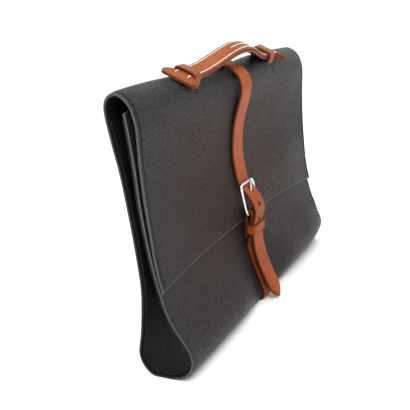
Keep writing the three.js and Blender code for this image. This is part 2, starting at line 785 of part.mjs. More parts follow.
// How far the roll stands out along handleUp over the width from one place to another
function reachBetween(from, to) {
  const samples = [0, 0.25, 0.5, 0.75, 1].map((t) => mix(from, to, t) / halfWidth);
  return Math.max(...samples.flatMap((u) => section(u).outer.map(
    (p) => p.clone().sub(rollCentre).dot(handleUp),
  )));
}
const leftReach = reachBetween(handleSlide - handleEnd, -loopPlace + loopWidth);
const rightReach = reachBetween(loopPlace - loopWidth, handleSlide + handleEnd);

// The line across the roll that the handle rests on, at a place along the width
function rollReach(x) {
  return mix(leftReach, rightReach, (x + loopPlace) / handleSpan);
}

// The handle's rise above its rest, a bow that is fullest a little past the middle
function handleBow(x) {
  const u = x / (loopPlace - loopWidth / 2 - clearance);
  const v = Math.min(Math.max(u - handleSkew * (1 - u * u), -1), 1);
  return handleRise * Math.pow(0.5 + 0.5 * Math.cos(Math.PI * v), handleFullness);
}

function handleHalf(x) {
  const along = (Math.abs(x - handleSlide) - handleEnd) / tabLength + 1;
  if (along <= 0) {
    return handleWidth / 2;
  }
  const found = tabRows.findIndex((row) => row.along >= along);
  const k = found < 0 ? tabRows.length - 1 : Math.max(found, 1);
  const t = (along - tabRows[k - 1].along) / (tabRows[k].along - tabRows[k - 1].along);
  return mix(handleWidth, tabWidth, mix(tabRows[k - 1].half, tabRows[k].half, t)) / 2;
}

// A point on the handle: along the width, a share of its half width across, and a height
// above the roll's reach
function handlePoint(x, share, height) {
  const half = handleHalf(x);
  const p = rollCentre.clone().addScaledVector(handleUp, rollReach(x) + clearance + handleBow(x) + height);
  p.addScaledVector(handleAcross, handleForward + share * half);
  return new THREE.Vector3(x, p.x, p.y);
}

function makeHandleLayer(level) {
  const tab = tabRows.map((row) => handleEnd - tabLength * (1 - row.along));
  const steps = 26;
  const middleRun = Array.from({ length: steps - 1 }, (_, i) => mix(-tab[0], tab[0], (i + 1) / steps));
  const places = [...tab.map((x) => -x).reverse(), ...middleRun, ...tab].map((x) => x + handleSlide);
  const shares = [-1, 0, 1];
  const low = level * (handleLayer + clearance);
  const top = places.map((x) => shares.map((s) => handlePoint(x, s, low + handleLayer)));
  const bottom = places.map((x) => shares.map((s) => handlePoint(x, s, low)));
  return slab(top, bottom);
}

// Each loop passes over the handle's neck and down through two slits in the wrap. Its
// line is drawn in across and up, from the middle of the handle's width.
const neckTop = 2 * handleLayer + 2 * clearance;
const loopHalf = handleWidth / 2 + loopEase + loopWall / 2;
const loopCornerSteps = 3;
const loopDepth = 0.2;
const slitAbove = 0.06;

function loopPoint(centreX, across, up) {
  const p = rollCentre.clone().addScaledVector(handleUp, rollReach(centreX) + up);
  p.addScaledVector(handleAcross, handleForward + across);
  return p;
}

// How far a loop's legs reach down from the line the handle rests on
function loopDrop(centreX) {
  return rollReach(centreX) - halfDepth * loopDepth;
}

function makeLoop(centreX) {
  const top = neckTop + clearance + (loopEase + loopWall) / 2;
  const r = loopWall;
  const foot = -loopDrop(centreX);
  const corner = (x, y, from, to) => Array.from({ length: loopCornerSteps + 1 }, (_, i) => {
    const angle = mix(from, to, i / loopCornerSteps) * Math.PI / 180;
    return [x + r * Math.cos(angle), y + r * Math.sin(angle)];
  });
  const right = [
    ...corner(loopHalf - r, top - r, 90, 0),
    [loopHalf, foot + r],
    ...corner(loopHalf - r, foot + r, 0, -90).slice(1),
    [loopHalf - r - loopFoot / 2, foot],
  ];
  const left = right.map(([a, b]) => [-a, b]).reverse();
  const line = [...left, ...right].map(([a, b]) => loopPoint(centreX, a, b));
  return extrudeAlongX(bandShape(line, loopWall), loopWidth, centreX);
}

// A slit in the wrap round one leg of a loop
function slitCutter(centreX, side) {
  const room = 2 * clearance;
  const above = halfDepth * slitAbove;
  const depth = above + loopDrop(centreX) - loopWall / 2;
  const box = new THREE.BoxGeometry(loopWidth + room, loopWall + room, depth);
  const x = new THREE.Vector3(1, 0, 0);
  const across = new THREE.Vector3(0, handleAcross.x, handleAcross.y);
  const up = x.clone().cross(across);
  const matrix = new THREE.Matrix4().makeBasis(x, across, up);
  const place = loopPoint(centreX, side * loopHalf, above - depth / 2);
  matrix.setPosition(centreX, place.x, place.y);
  box.applyMatrix4(matrix);
  return toSolid(box);
}

// The wrap, lofted through its sections, with the slits for the loops
function makeWrap() {
  const sections = stationShares.map((u) => section(u));
  const place = (line, i) => line.map((p) => new THREE.Vector3(stationShares[i] * halfWidth, p.x, p.y));
  const outer = sections.map((s, i) => place(s.outer, i));
  const inner = sections.map((s, i) => place(s.inner, i));
  let wrap = toSolid(slab(outer, inner));
  for (const centreX of [-loopPlace, loopPlace]) {
    for (const side of [-1, 1]) {
      wrap = wrap.subtract(slitCutter(centreX, side));
    }
  }
  return toGeometry(wrap);
}

// One gusset, sewn along the wrap's edge and folded inwards, made for the end at the side
// given: its two faces are offset from a middle surface in each level plane
function makeGusset(side) {
  const edgeX = halfWidth - gussetRecess;
  const floorZ = wrapWall + gussetSeam + clearance;
  const rows = [...gussetRows, { z: floorZ / caseHeight, fold: 0.15, square: 3.5 }];
  const faces = [[], []];
  for (const row of rows) {
    const z = row.z * caseHeight;
    const line = [];
    for (let j = 0; j <= gussetColumns; j += 1) {
      const t = Math.sin(Math.PI / 2 * (2 * j / gussetColumns - 1));
      const x = side * (edgeX - row.fold * gussetFold * (1 - Math.pow(Math.abs(t), row.square)));
      const faceY = innerFaces(x, z);
      const half = (faceY.back - faceY.front) / 2 - gussetWall / 2 - gussetSeam;
      line.push(new THREE.Vector2(x, (faceY.back + faceY.front) / 2 + t * half));
    }
    const normals = pathNormals(line);
    normals[0].set(side, 0);
    normals[gussetColumns].set(side, 0);
    const put = (p, n, d) => new THREE.Vector3(p.x + n.x * d, p.y + n.y * d, z);
    [0, 1].forEach((k) => {
      faces[k].push(line.map((p, j) => {
        const rim = j === 0 || j === gussetColumns;
        const reach = (k === 0 ? 1 : -1) * gussetWall / 2;
        if (rim) {
          const outwards = j === 0 ? -1 : 1;
          const wall = k === 0 ? -outwards : outwards;
          return new THREE.Vector3(p.x, p.y + wall * gussetWall / 2, z);
        }
        return put(p, normals[j], reach * side);
      }));
    });
  }
  return slab(faces[0], faces[1]);
}

const documentCase = new THREE.Group();
const strapPath = strapLine();
const tonguePath = tongueLine();

documentCase.add(makeMesh('body_wrap', makeWrap(), colours.caseLeather, 0.6));
documentCase.add(makeMesh('gusset_left', makeGusset(-1), colours.gussetLeather, 0.7));
documentCase.add(makeMesh('gusset_right', makeGusset(1), colours.gussetLeather, 0.7));
documentCase.add(makeMesh('wrap_strap', makeStrap(strapPath, tonguePath), colours.tanLeather, 0.5));
documentCase.add(makeMesh('buckle_frame', makeBuckleFrame(), colours.metal, 0.2, 1));
documentCase.add(makeMesh('buckle_tongue', rod(tonguePath, tongueRadius, 8, false), colours.metal, 0.2, 1));
documentCase.add(makeMesh('strap_keeper', makeKeeper(), colours.tanLeather, 0.5));
documentCase.add(makeMesh('handle_under_layer', makeHandleLayer(0), colours.tanLeather, 0.5));
documentCase.add(makeMesh('handle_top_layer', makeHandleLayer(1), colours.tanLeather, 0.5));
documentCase.add(makeMesh('handle_loop_left', makeLoop(-loopPlace), colours.tanLeather, 0.5));
documentCase.add(makeMesh('handle_loop_right', makeLoop(loopPlace), colours.tanLeather, 0.5));

export default documentCase;
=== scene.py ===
import math

import bpy
import numpy as np
from mathutils import Matrix, Vector


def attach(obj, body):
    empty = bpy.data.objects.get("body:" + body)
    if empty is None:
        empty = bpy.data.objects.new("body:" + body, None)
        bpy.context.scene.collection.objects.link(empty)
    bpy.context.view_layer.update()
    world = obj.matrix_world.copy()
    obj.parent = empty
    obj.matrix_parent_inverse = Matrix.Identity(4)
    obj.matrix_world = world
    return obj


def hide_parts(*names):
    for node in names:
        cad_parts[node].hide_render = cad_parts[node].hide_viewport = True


# A slim leather document case: one dark leather wrap, two folded gussets, a tan strap with
# its buckle and keeper, and a layered carrying handle in two loops. Sizes in millimetres
# until a mesh is made, +Z up, the front towards -Y.

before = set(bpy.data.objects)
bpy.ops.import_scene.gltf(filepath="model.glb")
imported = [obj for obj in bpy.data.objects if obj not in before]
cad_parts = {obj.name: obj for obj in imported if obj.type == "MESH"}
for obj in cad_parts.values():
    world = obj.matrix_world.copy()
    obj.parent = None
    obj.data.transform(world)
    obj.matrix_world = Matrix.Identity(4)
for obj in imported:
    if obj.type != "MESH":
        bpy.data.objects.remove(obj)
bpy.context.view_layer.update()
print("frame loaded")

mm = 0.001
caseSize = {"width": 380.0, "height": 281.0, "depth": 63.0, "clearance": 0.3}
halfWidth = caseSize["width"] / 2
halfDepth = caseSize["depth"] / 2
caseHeight = caseSize["height"]
clearance = caseSize["clearance"]


def inScene(name, data):  # a new object with this data, linked to the scene
    thing = bpy.data.objects.new(name, data)
    bpy.context.scene.collection.objects.link(thing)
    return thing


# The camera stands where the photograph was taken: its place, its right, down and forward
# directions, and a lens of focalPixels on a frame of imagePixels
photoCamera = {
    "place": (-596.4, -334.9, 328.0),
    "right": (0.4953, -0.8553, -0.1523),
    "down": (-0.3238, -0.0190, -0.9459),
    "forward": (0.8061, 0.5178, -0.2863),
    "focalPixels": 602.0, "imagePixels": 410.0, "sensorWidth": 36.0, "nearest": 0.01,
}


def makeCamera(values):  # its axes are the columns of a turn, and it looks along -Z
    data = bpy.data.cameras.new("photoCamera")
    data.sensor_width = values["sensorWidth"]
    data.lens = values["focalPixels"] / values["imagePixels"] * data.sensor_width
    data.clip_start = values["nearest"]
    camera = inScene("photoCamera", data)
    right, down, forward = (Vector(values[key]).normalized() for key in ("right", "down", "forward"))
    turn = Matrix((right, -down, -forward)).transposed().to_4x4()
    camera.matrix_world = Matrix.Translation(Vector(values["place"]) * mm) @ turn
    bpy.context.scene.camera = camera


makeCamera(photoCamera)


# Small helpers on arrays

def ease(t):  # 3t^2 - 2t^3 between 0 and 1
    s = np.clip(t, 0.0, 1.0)
    return s * s * (3.0 - 2.0 * s)


def blend(a, b, t):  # a at t = 0, b at t = 1, in a straight line between
    return a + (b - a) * t


def unit(v):  # each vector divided by its length
    return v / np.maximum(np.linalg.norm(v, axis=-1, keepdims=True), 1e-12)


def throughRows(rows, steps):  # a cubic through the rows, with half of each neighbour step as its slope
    q = np.concatenate([rows[..., :1, :], rows, rows[..., -1:, :]], axis=-2)
    a, b, c, d = q[..., :-3, :], q[..., 1:-2, :], q[..., 2:-1, :], q[..., 3:, :]
    t = (np.arange(steps) / steps)[:, None]
    a, b, c, d = (p[..., None, :] for p in (a, b, c, d))
    first, second = (c - a) / 2, (d - b) / 2
    curve = (2 * b - 2 * c + first + second) * t ** 3 + (3 * c - 3 * b - 2 * first - second) * t ** 2
    curve = curve + first * t + b
    shape = rows.shape[:-2] + ((rows.shape[-2] - 1) * steps, rows.shape[-1])
    return np.concatenate([curve.reshape(shape), rows[..., -1:, :]], axis=-2)


def lengthAlong(line):  # the distance from the line's first point to each of its points
    return np.concatenate([[0.0], np.cumsum(np.linalg.norm(np.diff(line, axis=0), axis=1))])


def sample(places, length, line):  # the line's points at places along its length
    return np.stack([np.interp(places, length, line[:, k]) for k in range(line.shape[1])], axis=1)


def evenly(line, spacing, smoothing=0.0):  # the line at even steps, rounded by a bell curve of that width
    length = lengthAlong(line)
    count = max(int(round(length[-1] / spacing)), 4)
    out = sample(np.linspace(0.0, length[-1], count + 1), length, line)
    if smoothing > 0:
        reach = int(math.ceil(3 * smoothing / spacing))
        bell = np.exp(-0.5 * (np.arange(-reach, reach + 1) * spacing / smoothing) ** 2)
        bell = bell / bell.sum()
        before = 2 * out[:1] - out[reach:0:-1]
        after = 2 * out[-1:] - out[-2:-reach - 2:-1]
        long = np.concatenate([before, out, after])
        out = np.stack([np.convolve(long[:, k], bell, mode="valid") for k in range(out.shape[1])], axis=1)
    return out


def rightNormals(line):  # unit normals to the right of a flat line's direction
    d = unit(np.gradient(line, axis=-2))
    return np.stack([d[..., 1], -d[..., 0]], axis=-1)


def directions(line, closed=False):  # unit directions along a line or a closed ring of points
    if closed:
        return unit(np.roll(line, -1, 0) - np.roll(line, 1, 0))
    return unit(np.gradient(line, axis=0))


def gridNormals(grid):  # unit normals of a grid of points
    return unit(np.cross(np.gradient(grid, axis=1), np.gradient(grid, axis=0)))


def turnedTo(normal, towards):  # the normals, turned round where they point away from towards
    return normal * np.where(np.sum(normal * towards, -1, keepdims=True) < 0, -1.0, 1.0)


def arc(x, y, radius, start, end, count):  # points on a circle, from one angle in degrees to another
    a = np.radians(np.linspace(start, end, count))
    return np.stack([x + radius * np.cos(a), y + radius * np.sin(a)], 1)


def softNoise(x, y, size, seed, waves=7):  # a sum of crossed waves of about one size
    rng = np.random.default_rng(seed)
    total = np.zeros_like(x)
    for k in range(waves):
        angle = rng.uniform(0, 2 * math.pi)
        wave = 2 * math.pi / (size * rng.uniform(0.7, 1.5))
        total = total + np.sin((x * math.cos(angle) + y * math.sin(angle)) * wave + rng.uniform(0, 6.28))
    return total / (waves / 2)


# Meshes

def newMesh(name, points, faces):
    mesh = bpy.data.meshes.new(name)
    mesh.from_pydata((points * mm).tolist(), [], faces)
    return mesh


def makePiece(name, shape, material, node=None):
    # shape holds points in millimetres, faces and, on leather, two more arrays: cut has across,
    # along and the distance from the edge, and side is 1 outside, -1 inside and 0 on the cut edge
    points, faces, *layers = shape
    mesh = newMesh(name, points, faces)
    kinds = (("cut", "FLOAT_VECTOR", "vector"), ("side", "FLOAT", "value"))
    for (key, kind, field), values in zip(kinds, layers):
        layer = mesh.attributes.new(key, kind, "POINT")
        layer.data.foreach_set(field, values.astype(np.float32).ravel())
    mesh.shade_smooth()
    mesh.update()
    piece = inScene(name, mesh)
    mesh.materials.append(material)
    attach(piece, "root")
    if node:
        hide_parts(node)
    return piece


def outwards(points, faces):  # turns all the faces round if the body's volume comes out negative
    total = 0.0
    for group in faces:
        a = points[group[:, 0]]
        for k in range(1, group.shape[1] - 1):
            total += np.einsum("ij,ij->i", a, np.cross(points[group[:, k]], points[group[:, k + 1]])).sum()
    groups = [group[:, ::-1] if total < 0 else group for group in faces]
    return [face for group in groups for face in group.tolist()]


def tubeFaces(rows, around, closed):  # four-sided faces of a grid of points that closes around
    i = np.arange(rows if closed else rows - 1)[:, None]
    j = np.arange(around)[None]
    row, after = i * around, (i + 1) % rows * around
    right = (j + 1) % around
    return np.stack([row + j, row + right, after + right, after + j], -1).reshape(-1, 4)


def padded(a, count):  # the array with its first and its last row repeated count times
    return np.concatenate([np.repeat(a[:1], count, 0), a, np.repeat(a[-1:], count, 0)])


edgeShape = {"rings": 4, "closing": 0.97}  # rows in a rounded edge, and how nearly its last row closes


def leatherShell(mid, normal, wall, across, along, half, rim, closed=False):
    # A sheet of leather with rounded edges. mid is a grid of points on its middle surface, which
    # stops rim short of every edge; the edge is half an ellipse, rim deep and a wall high.
    rings = edgeShape["rings"]
    angles = np.linspace(0, math.pi / 2, rings + 1)
    scale = np.ones(len(mid))
    wall = np.broadcast_to(np.asarray(wall, float), (len(mid),))
    if not closed:
        turns = angles[1:] * edgeShape["closing"]
        out = rim * np.sin(turns)
        before = mid[0] + unit(mid[0] - mid[1]) * out[::-1, None, None]
        after = mid[-1] + unit(mid[-1] - mid[-2]) * out[:, None, None]
        mid = np.concatenate([before, mid, after])
        normal, across, half, wall = (padded(a, rings) for a in (normal, across, half, wall))
        scale = np.concatenate([np.cos(turns[::-1]), scale, np.cos(turns)])
        along = np.concatenate([along[0] - out[::-1], along, along[-1] + out])
    total = len(mid)
    side = np.cross(directions(mid, closed), normal)
    lift = (wall / 2 * scale)[:, None]
    bends = angles[1:-1]
    ends, rises = [], []
    for edge, inside in ((0, 1), (-1, -2)):
        sign = np.sign(np.einsum("ij,ij->i", side[:, edge], mid[:, edge] - mid[:, inside]))
        away = side[:, edge] * sign[:, None] * (scale * rim)[:, None]
        turned = np.append(0.0, bends)[:, None]
        ends.append(mid[:, edge, None] + away[:, None] * np.cos(turned))
        rises.append((normal[:, edge] * lift)[:, None] * np.sin(bends)[:, None])

    def face(sign):  # the points of the outer or the inner face, from the left edge to the right one
        left, right = (ends[k][:, 1:] + sign * rises[k] for k in (0, 1))
        return np.concatenate([left, mid + normal * (sign * lift)[..., None], right[:, ::-1]], 1)

    flat = np.zeros((total, 1))
    sines, cosines = (np.broadcast_to(f(bends), (total, len(bends))) for f in (np.sin, np.cos))
    sides = np.concatenate([sines, np.ones(across.shape), sines[:, ::-1]], 1)
    sides = np.concatenate([flat, sides, flat, -sides[:, ::-1]], 1) * scale[:, None]
    edge = np.concatenate([-rim * cosines, half[:, None] - np.abs(across), -rim * cosines[:, ::-1]], 1)
    edge = np.concatenate([flat - rim, edge, flat - rim, edge[:, ::-1]], 1)
    wide = padded(across.T, len(bends)).T
    wide = np.concatenate([wide[:, :1], wide, wide[:, -1:], wide[:, ::-1]], 1)
    loop = np.concatenate([ends[0][:, :1], face(1), ends[1][:, :1], face(-1)[:, ::-1]], 1)
    around = loop.shape[1]
    down = np.repeat(along[:, None], around, 1)
    groups = [tubeFaces(total, around, closed)]
    if not closed:
        edge = np.minimum(edge, np.minimum(down - along[rings], along[-rings - 1] - down))
        width = around // 2 - 1
        k = np.arange(width - 1)
        for base, order in ((0, 1), ((total - 1) * around, -1)):
            strip = np.stack([base + 1 + k, base + around - 1 - k, base + around - 2 - k, base + 2 + k], -1)
            tips = base + np.array([[0, around - 1, 1], [width + 1, width, width + 2]])
            groups += [strip[:, ::order], tips[:, ::order]]
    points = loop.reshape(-1, 3)
    cut = np.stack([wide, down, edge], -1).reshape(-1, 3)
    return points, outwards(points, groups), cut, sides.reshape(-1)


def roundBar(path, reference, radii, sides, closed=False):
    # A bar of oval section along a path: radii gives its half width along reference and its half height
    ring = np.arange(sides) / sides * 2 * math.pi
    direction = directions(path, closed)
    first = unit(np.array(reference) - direction * (direction @ np.array(reference))[:, None])
    second = np.cross(direction, first)
    radii = np.broadcast_to(np.asarray(radii, float), (len(path), 2))
    points = path[:, None] + first[:, None] * (np.cos(ring) * radii[:, :1])[..., None]
    points = points + second[:, None] * (np.sin(ring) * radii[:, 1:])[..., None]
    points = points.reshape(-1, 3)
    groups = [tubeFaces(len(path), sides, closed)]
    if not closed:
        tip, last = len(points), len(points) - sides
        k = np.arange(sides)
        after = (k + 1) % sides
        groups.append(np.stack([np.full(sides, tip), after, k], -1))
        groups.append(np.stack([np.full(sides, tip + 1), last + k, last + after], -1))
        points = np.concatenate([points, path[:1], path[-1:]])
    return points, outwards(points, groups)


def cutAway(piece, cutters):  # takes closed shapes out of a piece, and leaves a plain mesh
    for points, faces in cutters:
        mesh = newMesh("cutter", points, faces)
        cutter = inScene("cutter", mesh)
        modifier = piece.modifiers.new("cut", "BOOLEAN")
        modifier.operation = "DIFFERENCE"
        modifier.solver = "EXACT"
        modifier.object = cutter
        bpy.context.view_layer.update()
        graph = bpy.context.evaluated_depsgraph_get()
        done = bpy.data.meshes.new_from_object(piece.evaluated_get(graph))
        piece.modifiers.remove(modifier)
        done.name = piece.data.name
        piece.data = done
        bpy.data.objects.remove(cutter)
        bpy.data.meshes.remove(mesh)


# Shader graphs

def rgb(text):  # a screen colour such as "b5694a" as linear values
    parts = [int(text[k:k + 2], 16) / 255 for k in (0, 2, 4)]
    linear = [p / 12.92 if p <= 0.04045 else ((p + 0.055) / 1.055) ** 2.4 for p in parts]
    return (*linear, 1.0)


class Wire:
    # A number in a shader: sums, products and differences of wires add Math nodes

    def __init__(self, graph, socket):
        self.graph = graph
        self.socket = socket

    def __add__(self, other):
        return self.graph.maths("ADD", self, other)

    def __mul__(self, other):
        return self.graph.maths("MULTIPLY", self, other)

    def __sub__(self, other):
        return self.graph.maths("SUBTRACT", self, other)

    def __rsub__(self, other):
        return self.graph.maths("SUBTRACT", other, self)

    __radd__ = __add__
    __rmul__ = __mul__

    def size(self):
        return self.graph.maths("ABSOLUTE", self)

    def most(self, other):
        return self.graph.maths("MAXIMUM", self, other)

    def between(self, low, high):  # 0 at low and 1 at high, smooth between; low may be the larger
        values = {"Value": self, "From Min": low, "From Max": high, "To Min": 0.0, "To Max": 1.0}
        return self.graph.wire("ShaderNodeMapRange", {"interpolation_type": "SMOOTHSTEP"}, values)

    def bell(self, centre, width):  # 1 at the centre, falling off over the width on both sides
        return (self - centre).size().between(width, 0.0)


class Finish:
    # One material, whose nodes are added by type

    def __init__(self, name, **constants):
        self.material = bpy.data.materials.new(name)
        self.material.use_nodes = True
        self.nodes = self.material.node_tree.nodes
        self.links = self.material.node_tree.links
        self.shader = next(n for n in self.nodes if n.type == "BSDF_PRINCIPLED")
        for key, value in constants.items():
            self.shader.inputs[key.replace("_", " ")].default_value = value
        self.coordinates = self.node("ShaderNodeTexCoord", {}, {}).outputs["Object"]

    def node(self, kind, settings, inputs):
        node = self.nodes.new(kind)
        for key, value in settings.items():
            setattr(node, key, value)
        for key, value in inputs.items():
            source = getattr(value, "socket", value)
            if isinstance(source, bpy.types.NodeSocket):
                self.links.new(source, node.inputs[key])
            else:
                node.inputs[key].default_value = source
        return node

    def wire(self, kind, settings, inputs, output=0):
        return Wire(self, self.node(kind, settings, inputs).outputs[output])

    def maths(self, operation, *values):
        return self.wire("ShaderNodeMath", {"operation": operation}, dict(enumerate(values)))

    def noise(self, size, detail=3.0, roughness=0.55, stretch=None):  # size in millimetres
        place = self.coordinates
        if stretch:
            place = self.node("ShaderNodeMapping", {}, {"Vector": place, "Scale": stretch}).outputs[0]
        values = {"Vector": place, "Scale": 1000.0 / size, "Detail": detail, "Roughness": roughness}
        return self.wire("ShaderNodeTexNoise", {}, values, "Fac")

    def cells(self, size):
        values = {"Vector": self.coordinates, "Scale": 1000.0 / size}
        return self.wire("ShaderNodeTexVoronoi", {}, values, "Distance")

    def parts(self, vector):  # a vector's three numbers
        node = self.node("ShaderNodeSeparateXYZ", {}, {0: vector})
        return [Wire(self, node.outputs[k]) for k in range(3)]

    def attribute(self, name):
        return self.node("ShaderNodeAttribute", {"attribute_name": name}, {}).outputs

    def cutPlace(self):  # across, along and distance from the edge, in millimetres
        return self.parts(self.attribute("cut")["Vector"])

    def side(self):
        return Wire(self, self.attribute("side")["Fac"])

    def colour(self, factor, first, second):  # a mix of two colours, each a screen colour or a socket
        first, second = (rgb(value) if isinstance(value, str) else value for value in (first, second))
        settings = {"data_type": "RGBA", "clamp_factor": True}
        return self.node("ShaderNodeMix", settings, {0: factor, 6: first, 7: second}).outputs[2]

    def bump(self, height, strength, depth):
        values = {"Height": height, "Strength": strength, "Distance": depth * mm}
        normal = self.node("ShaderNodeBump", {}, values)
        self.links.new(normal.outputs[0], self.shader.inputs["Normal"])

    def set(self, **sockets):
        for key, value in sockets.items():
            source = getattr(value, "socket", value)
            self.links.new(source, self.shader.inputs[key.replace("_", " ")])
        return self.material


# Among these tones: a grey painted as the sky's sheen over the ends, the roll and the foot; a near-black
# for the grain valleys and painted shade in the creases; two edge tones painting the cut edge darker low
# down and lighter high up; a pale grey painted as a highlight along the edges' outer corner
caseLook = {
    "face": "291917", "faceDark": "211614", "paintedSheen": "2b2c2f", "valleyAndCreaseShade": "070606", "edgeInShade": "1a1a1b",
    "edgeInLight": "3b3c3f", "inner": "0a090a", "line": "7c7d82", "grainSize": 1.45, "grainDepth": 0.5,
    "roughness": 0.42, "creaseInset": 4.2, "specular": 0.175, "rimHighlight": "8a8b90",
}
# The creases below the loops: pressed into the wrap, and darkened along them with painted shade in the case
# leather
slitCreases = [  # x, the height where it fades out, half its width and its depth, in millimetres
    (-90.6, 259.0, 1.2, 1.9), (-86.2, 264.0, 1.0, 0.7), (90.5, 252.0, 1.2, 0.6), (94.6, 262.0, 0.9, 0.5),
]


def caseLeather(name, look):
    # Pebbled leather: rounded cells with darker valleys, chocolate on the flat faces, a painted grey sky
    # sheen towards the ends, over the roll and low down, painted shade in the creases, a burnished edge
    # painted darker low down and lighter high up, a painted highlight along the edges' outer corner, a
    # creased line just inside the ends, a paler line on the flap's cut edge, and a dark inner face
    finish = Finish(name, Specular_IOR_Level=look["specular"])
    across, along = finish.cutPlace()[:2]
    side = finish.side()
    x, y, z = finish.parts(finish.coordinates)
    pebble = finish.cells(look["grainSize"]) + 0.22 * (finish.noise(7.0, 2.0) - 0.5)
    small = finish.cells(look["grainSize"] * 0.42)
    fine = finish.noise(0.45)
    slow = finish.noise(60.0, 3.0, 0.5)
    cloud = finish.noise(12.0)
    # where the grey sky sheen is painted: towards the ends, over the roll and, weaker, low down
    ends = x.size().between(0.09, 0.19)
    paintedSheen = (ends * 0.8).most(z.between(0.225, 0.272)).most(z.between(0.11, 0.02) * 0.6)
    valley = pebble.between(0.42, 0.72)
    outer = side.between(0.0, 0.6)
    rim = 1.0 - side.size().between(0.35, 0.95)
    crease = (halfWidth - across.size()).bell(look["creaseInset"], 0.75) * outer * z.between(0.05, 0.09)
    # painted shade along the creases below the loops, as dark as each crease is deep, at most 0.9
    slitCreaseShade = 0.0
    for markX, low, wide, deep in slitCreases:
        oneCreaseShade = x.bell(markX * mm, wide * 0.6 * mm) * z.between((low - 2) * mm, (low + 5) * mm)
        slitCreaseShade = oneCreaseShade * y.between(0.0, -0.01) * min(deep, 0.9) + slitCreaseShade
    # darker grain valleys, with painted shade along the creased line inside the ends and along the creases
    # below the loops
    pitAndCreaseShade = (valley * (0.36 + 0.3 * paintedSheen)).most(crease * 0.8).most(slitCreaseShade)
    flapEdge = along.between(-2.2, -0.6)
    tone = finish.colour((slow * 0.65 + cloud * 0.35).between(0.36, 0.66), look["faceDark"], look["face"])
    # painted sheen: the tone turns to a cool grey where the sky's reflection is painted
    tone = finish.colour(paintedSheen * (0.75 + 0.4 * (slow - 0.5)), tone, look["paintedSheen"])
    tone = finish.colour(pitAndCreaseShade, tone, look["valleyAndCreaseShade"])
    tone = finish.colour(outer, look["inner"], tone)
    # the burnished cut edge, painted darker low down as shade and lighter high up as light
    burnishedLitAndShaded = finish.colour(z.between(0.03, 0.2), look["edgeInShade"], look["edgeInLight"])
    tone = finish.colour(rim, tone, burnishedLitAndShaded)
    tone = finish.colour(flapEdge * outer.most(rim) * 0.12, tone, look["line"])
    # a painted highlight: a pale line along the outer corner of every cut edge
    tone = finish.colour(side.bell(0.62, 0.3) * 0.4, tone, look["rimHighlight"])
    height = (1.0 - pebble.between(0.05, 0.8)) * (0.6 + 0.7 * paintedSheen) + 0.25 * (1.0 - small) + 0.15 * fine
    finish.bump(height * (1.0 - rim * 0.9) - 2.4 * crease, 0.9, look["grainDepth"])
    roughness = look["roughness"] + 0.20 * valley - 0.12 * rim + 0.12 * (slow - 0.5) - 0.16 * paintedSheen
    return finish.set(Base_Color=tone, Roughness=roughness + 0.5 * side.between(0.0, -0.6))


tanLook = {
    "face": "914820", "faceDark": "793815", "light": "a95c31", "edge": "4d1b0b", "inner": "552615",
    "roughness": 0.38, "specular": 0.10,
}
handleLook = {**tanLook, "face": "8b4c28", "faceDark": "753d1f", "light": "a76749", "edge": "673122"}


def tanLeather(name, look):
    # Smooth veg-tanned leather: mottled tone, tiny pores, a creased border line and burnished edges
    finish = Finish(name, Specular_IOR_Level=look["specular"])
    edge = finish.cutPlace()[2]
    side = finish.side()
    slow = finish.noise(38.0, 3.0, 0.55)
    mottle = finish.noise(6.0, 4.0, 0.6)
    fibre = finish.noise(1.1, 4.0, 0.6)
    pore = finish.cells(0.9).between(0.25, 0.05)
    near = edge.between(2.6, 0.2)
    line = edge.bell(1.6, 0.55)
    tone = finish.colour((slow * 0.6 + mottle * 0.4).between(0.36, 0.66), look["faceDark"], look["face"])
    tone = finish.colour((mottle * 0.5 + fibre * 0.5).between(0.52, 0.74) * 0.5, tone, look["light"])
    tone = finish.colour((line * 0.75).most(near * 0.5).most(pore * 0.3), tone, look["edge"])
    tone = finish.colour(side.between(-0.2, 0.6), look["inner"], tone)
    tone = finish.colour(1.0 - side.size().between(0.3, 0.9), tone, look["edge"])
    finish.bump(0.35 * fibre + 0.25 * mottle - 0.5 * pore - 1.6 * line, 0.7, 0.09)
    roughness = look["roughness"] + 0.1 * (mottle - 0.5) + 0.1 * pore - 0.06 * near
    return finish.set(Base_Color=tone, Roughness=roughness)


# Near-black tones, darker than the case leather, are painted shade in the recessed ends; the slightly
# lighter foot tone is painted light low down
gussetLook = {
    "face": "0b0a0b", "faceDark": "050505", "edge": "161617", "foot": "0f0e0f",
    "roughness": 0.62, "specular": 0.09,
}


def gussetLeather(name, look):
    # Soft leather with a fine grain and faint stretch lines along its folds, painted near-black as the
    # shade in the recessed ends, and a little lighter towards its foot as painted light
    finish = Finish(name, Specular_IOR_Level=look["specular"])
    pebble = finish.cells(1.3)
    creases = finish.noise(7.0, 4.0, 0.6, stretch=(1.0, 1.0, 0.25))
    rim = 1.0 - finish.side().size().between(0.35, 0.95)
    # painted light: the gusset turns a little lighter towards its foot, broken up by the stretch lines
    foot = finish.parts(finish.coordinates)[2].between(0.075, 0.02) * (0.6 + 0.8 * creases)
    tone = finish.colour(finish.noise(30.0).between(0.35, 0.65), look["faceDark"], look["face"])
    tone = finish.colour(foot, tone, look["foot"])
    tone = finish.colour(rim, tone, look["edge"])
    finish.bump((1.0 - pebble.between(0.1, 0.8)) * 0.6 + creases * 1.4, 0.8, 0.22)
    roughness = look["roughness"] + 0.12 * pebble.between(0.4, 0.8) + 0.1 * (creases - 0.5)
    return finish.set(Base_Color=tone, Roughness=roughness)


def polishedMetal(name):
    # Silver plate: a bright metal with faint wiping marks
    finish = Finish(name, Metallic=1.0)
    wipe = finish.noise(1.5, 4.0, 0.6, stretch=(1.0, 4.0, 0.4))
    tone = finish.colour(finish.noise(6.0, 2.0).between(0.3, 0.7), "bdbab6", "d9d7d3")
    finish.bump(wipe, 0.12, 0.02)
    return finish.set(Base_Color=tone, Roughness=0.1 + 0.16 * wipe)


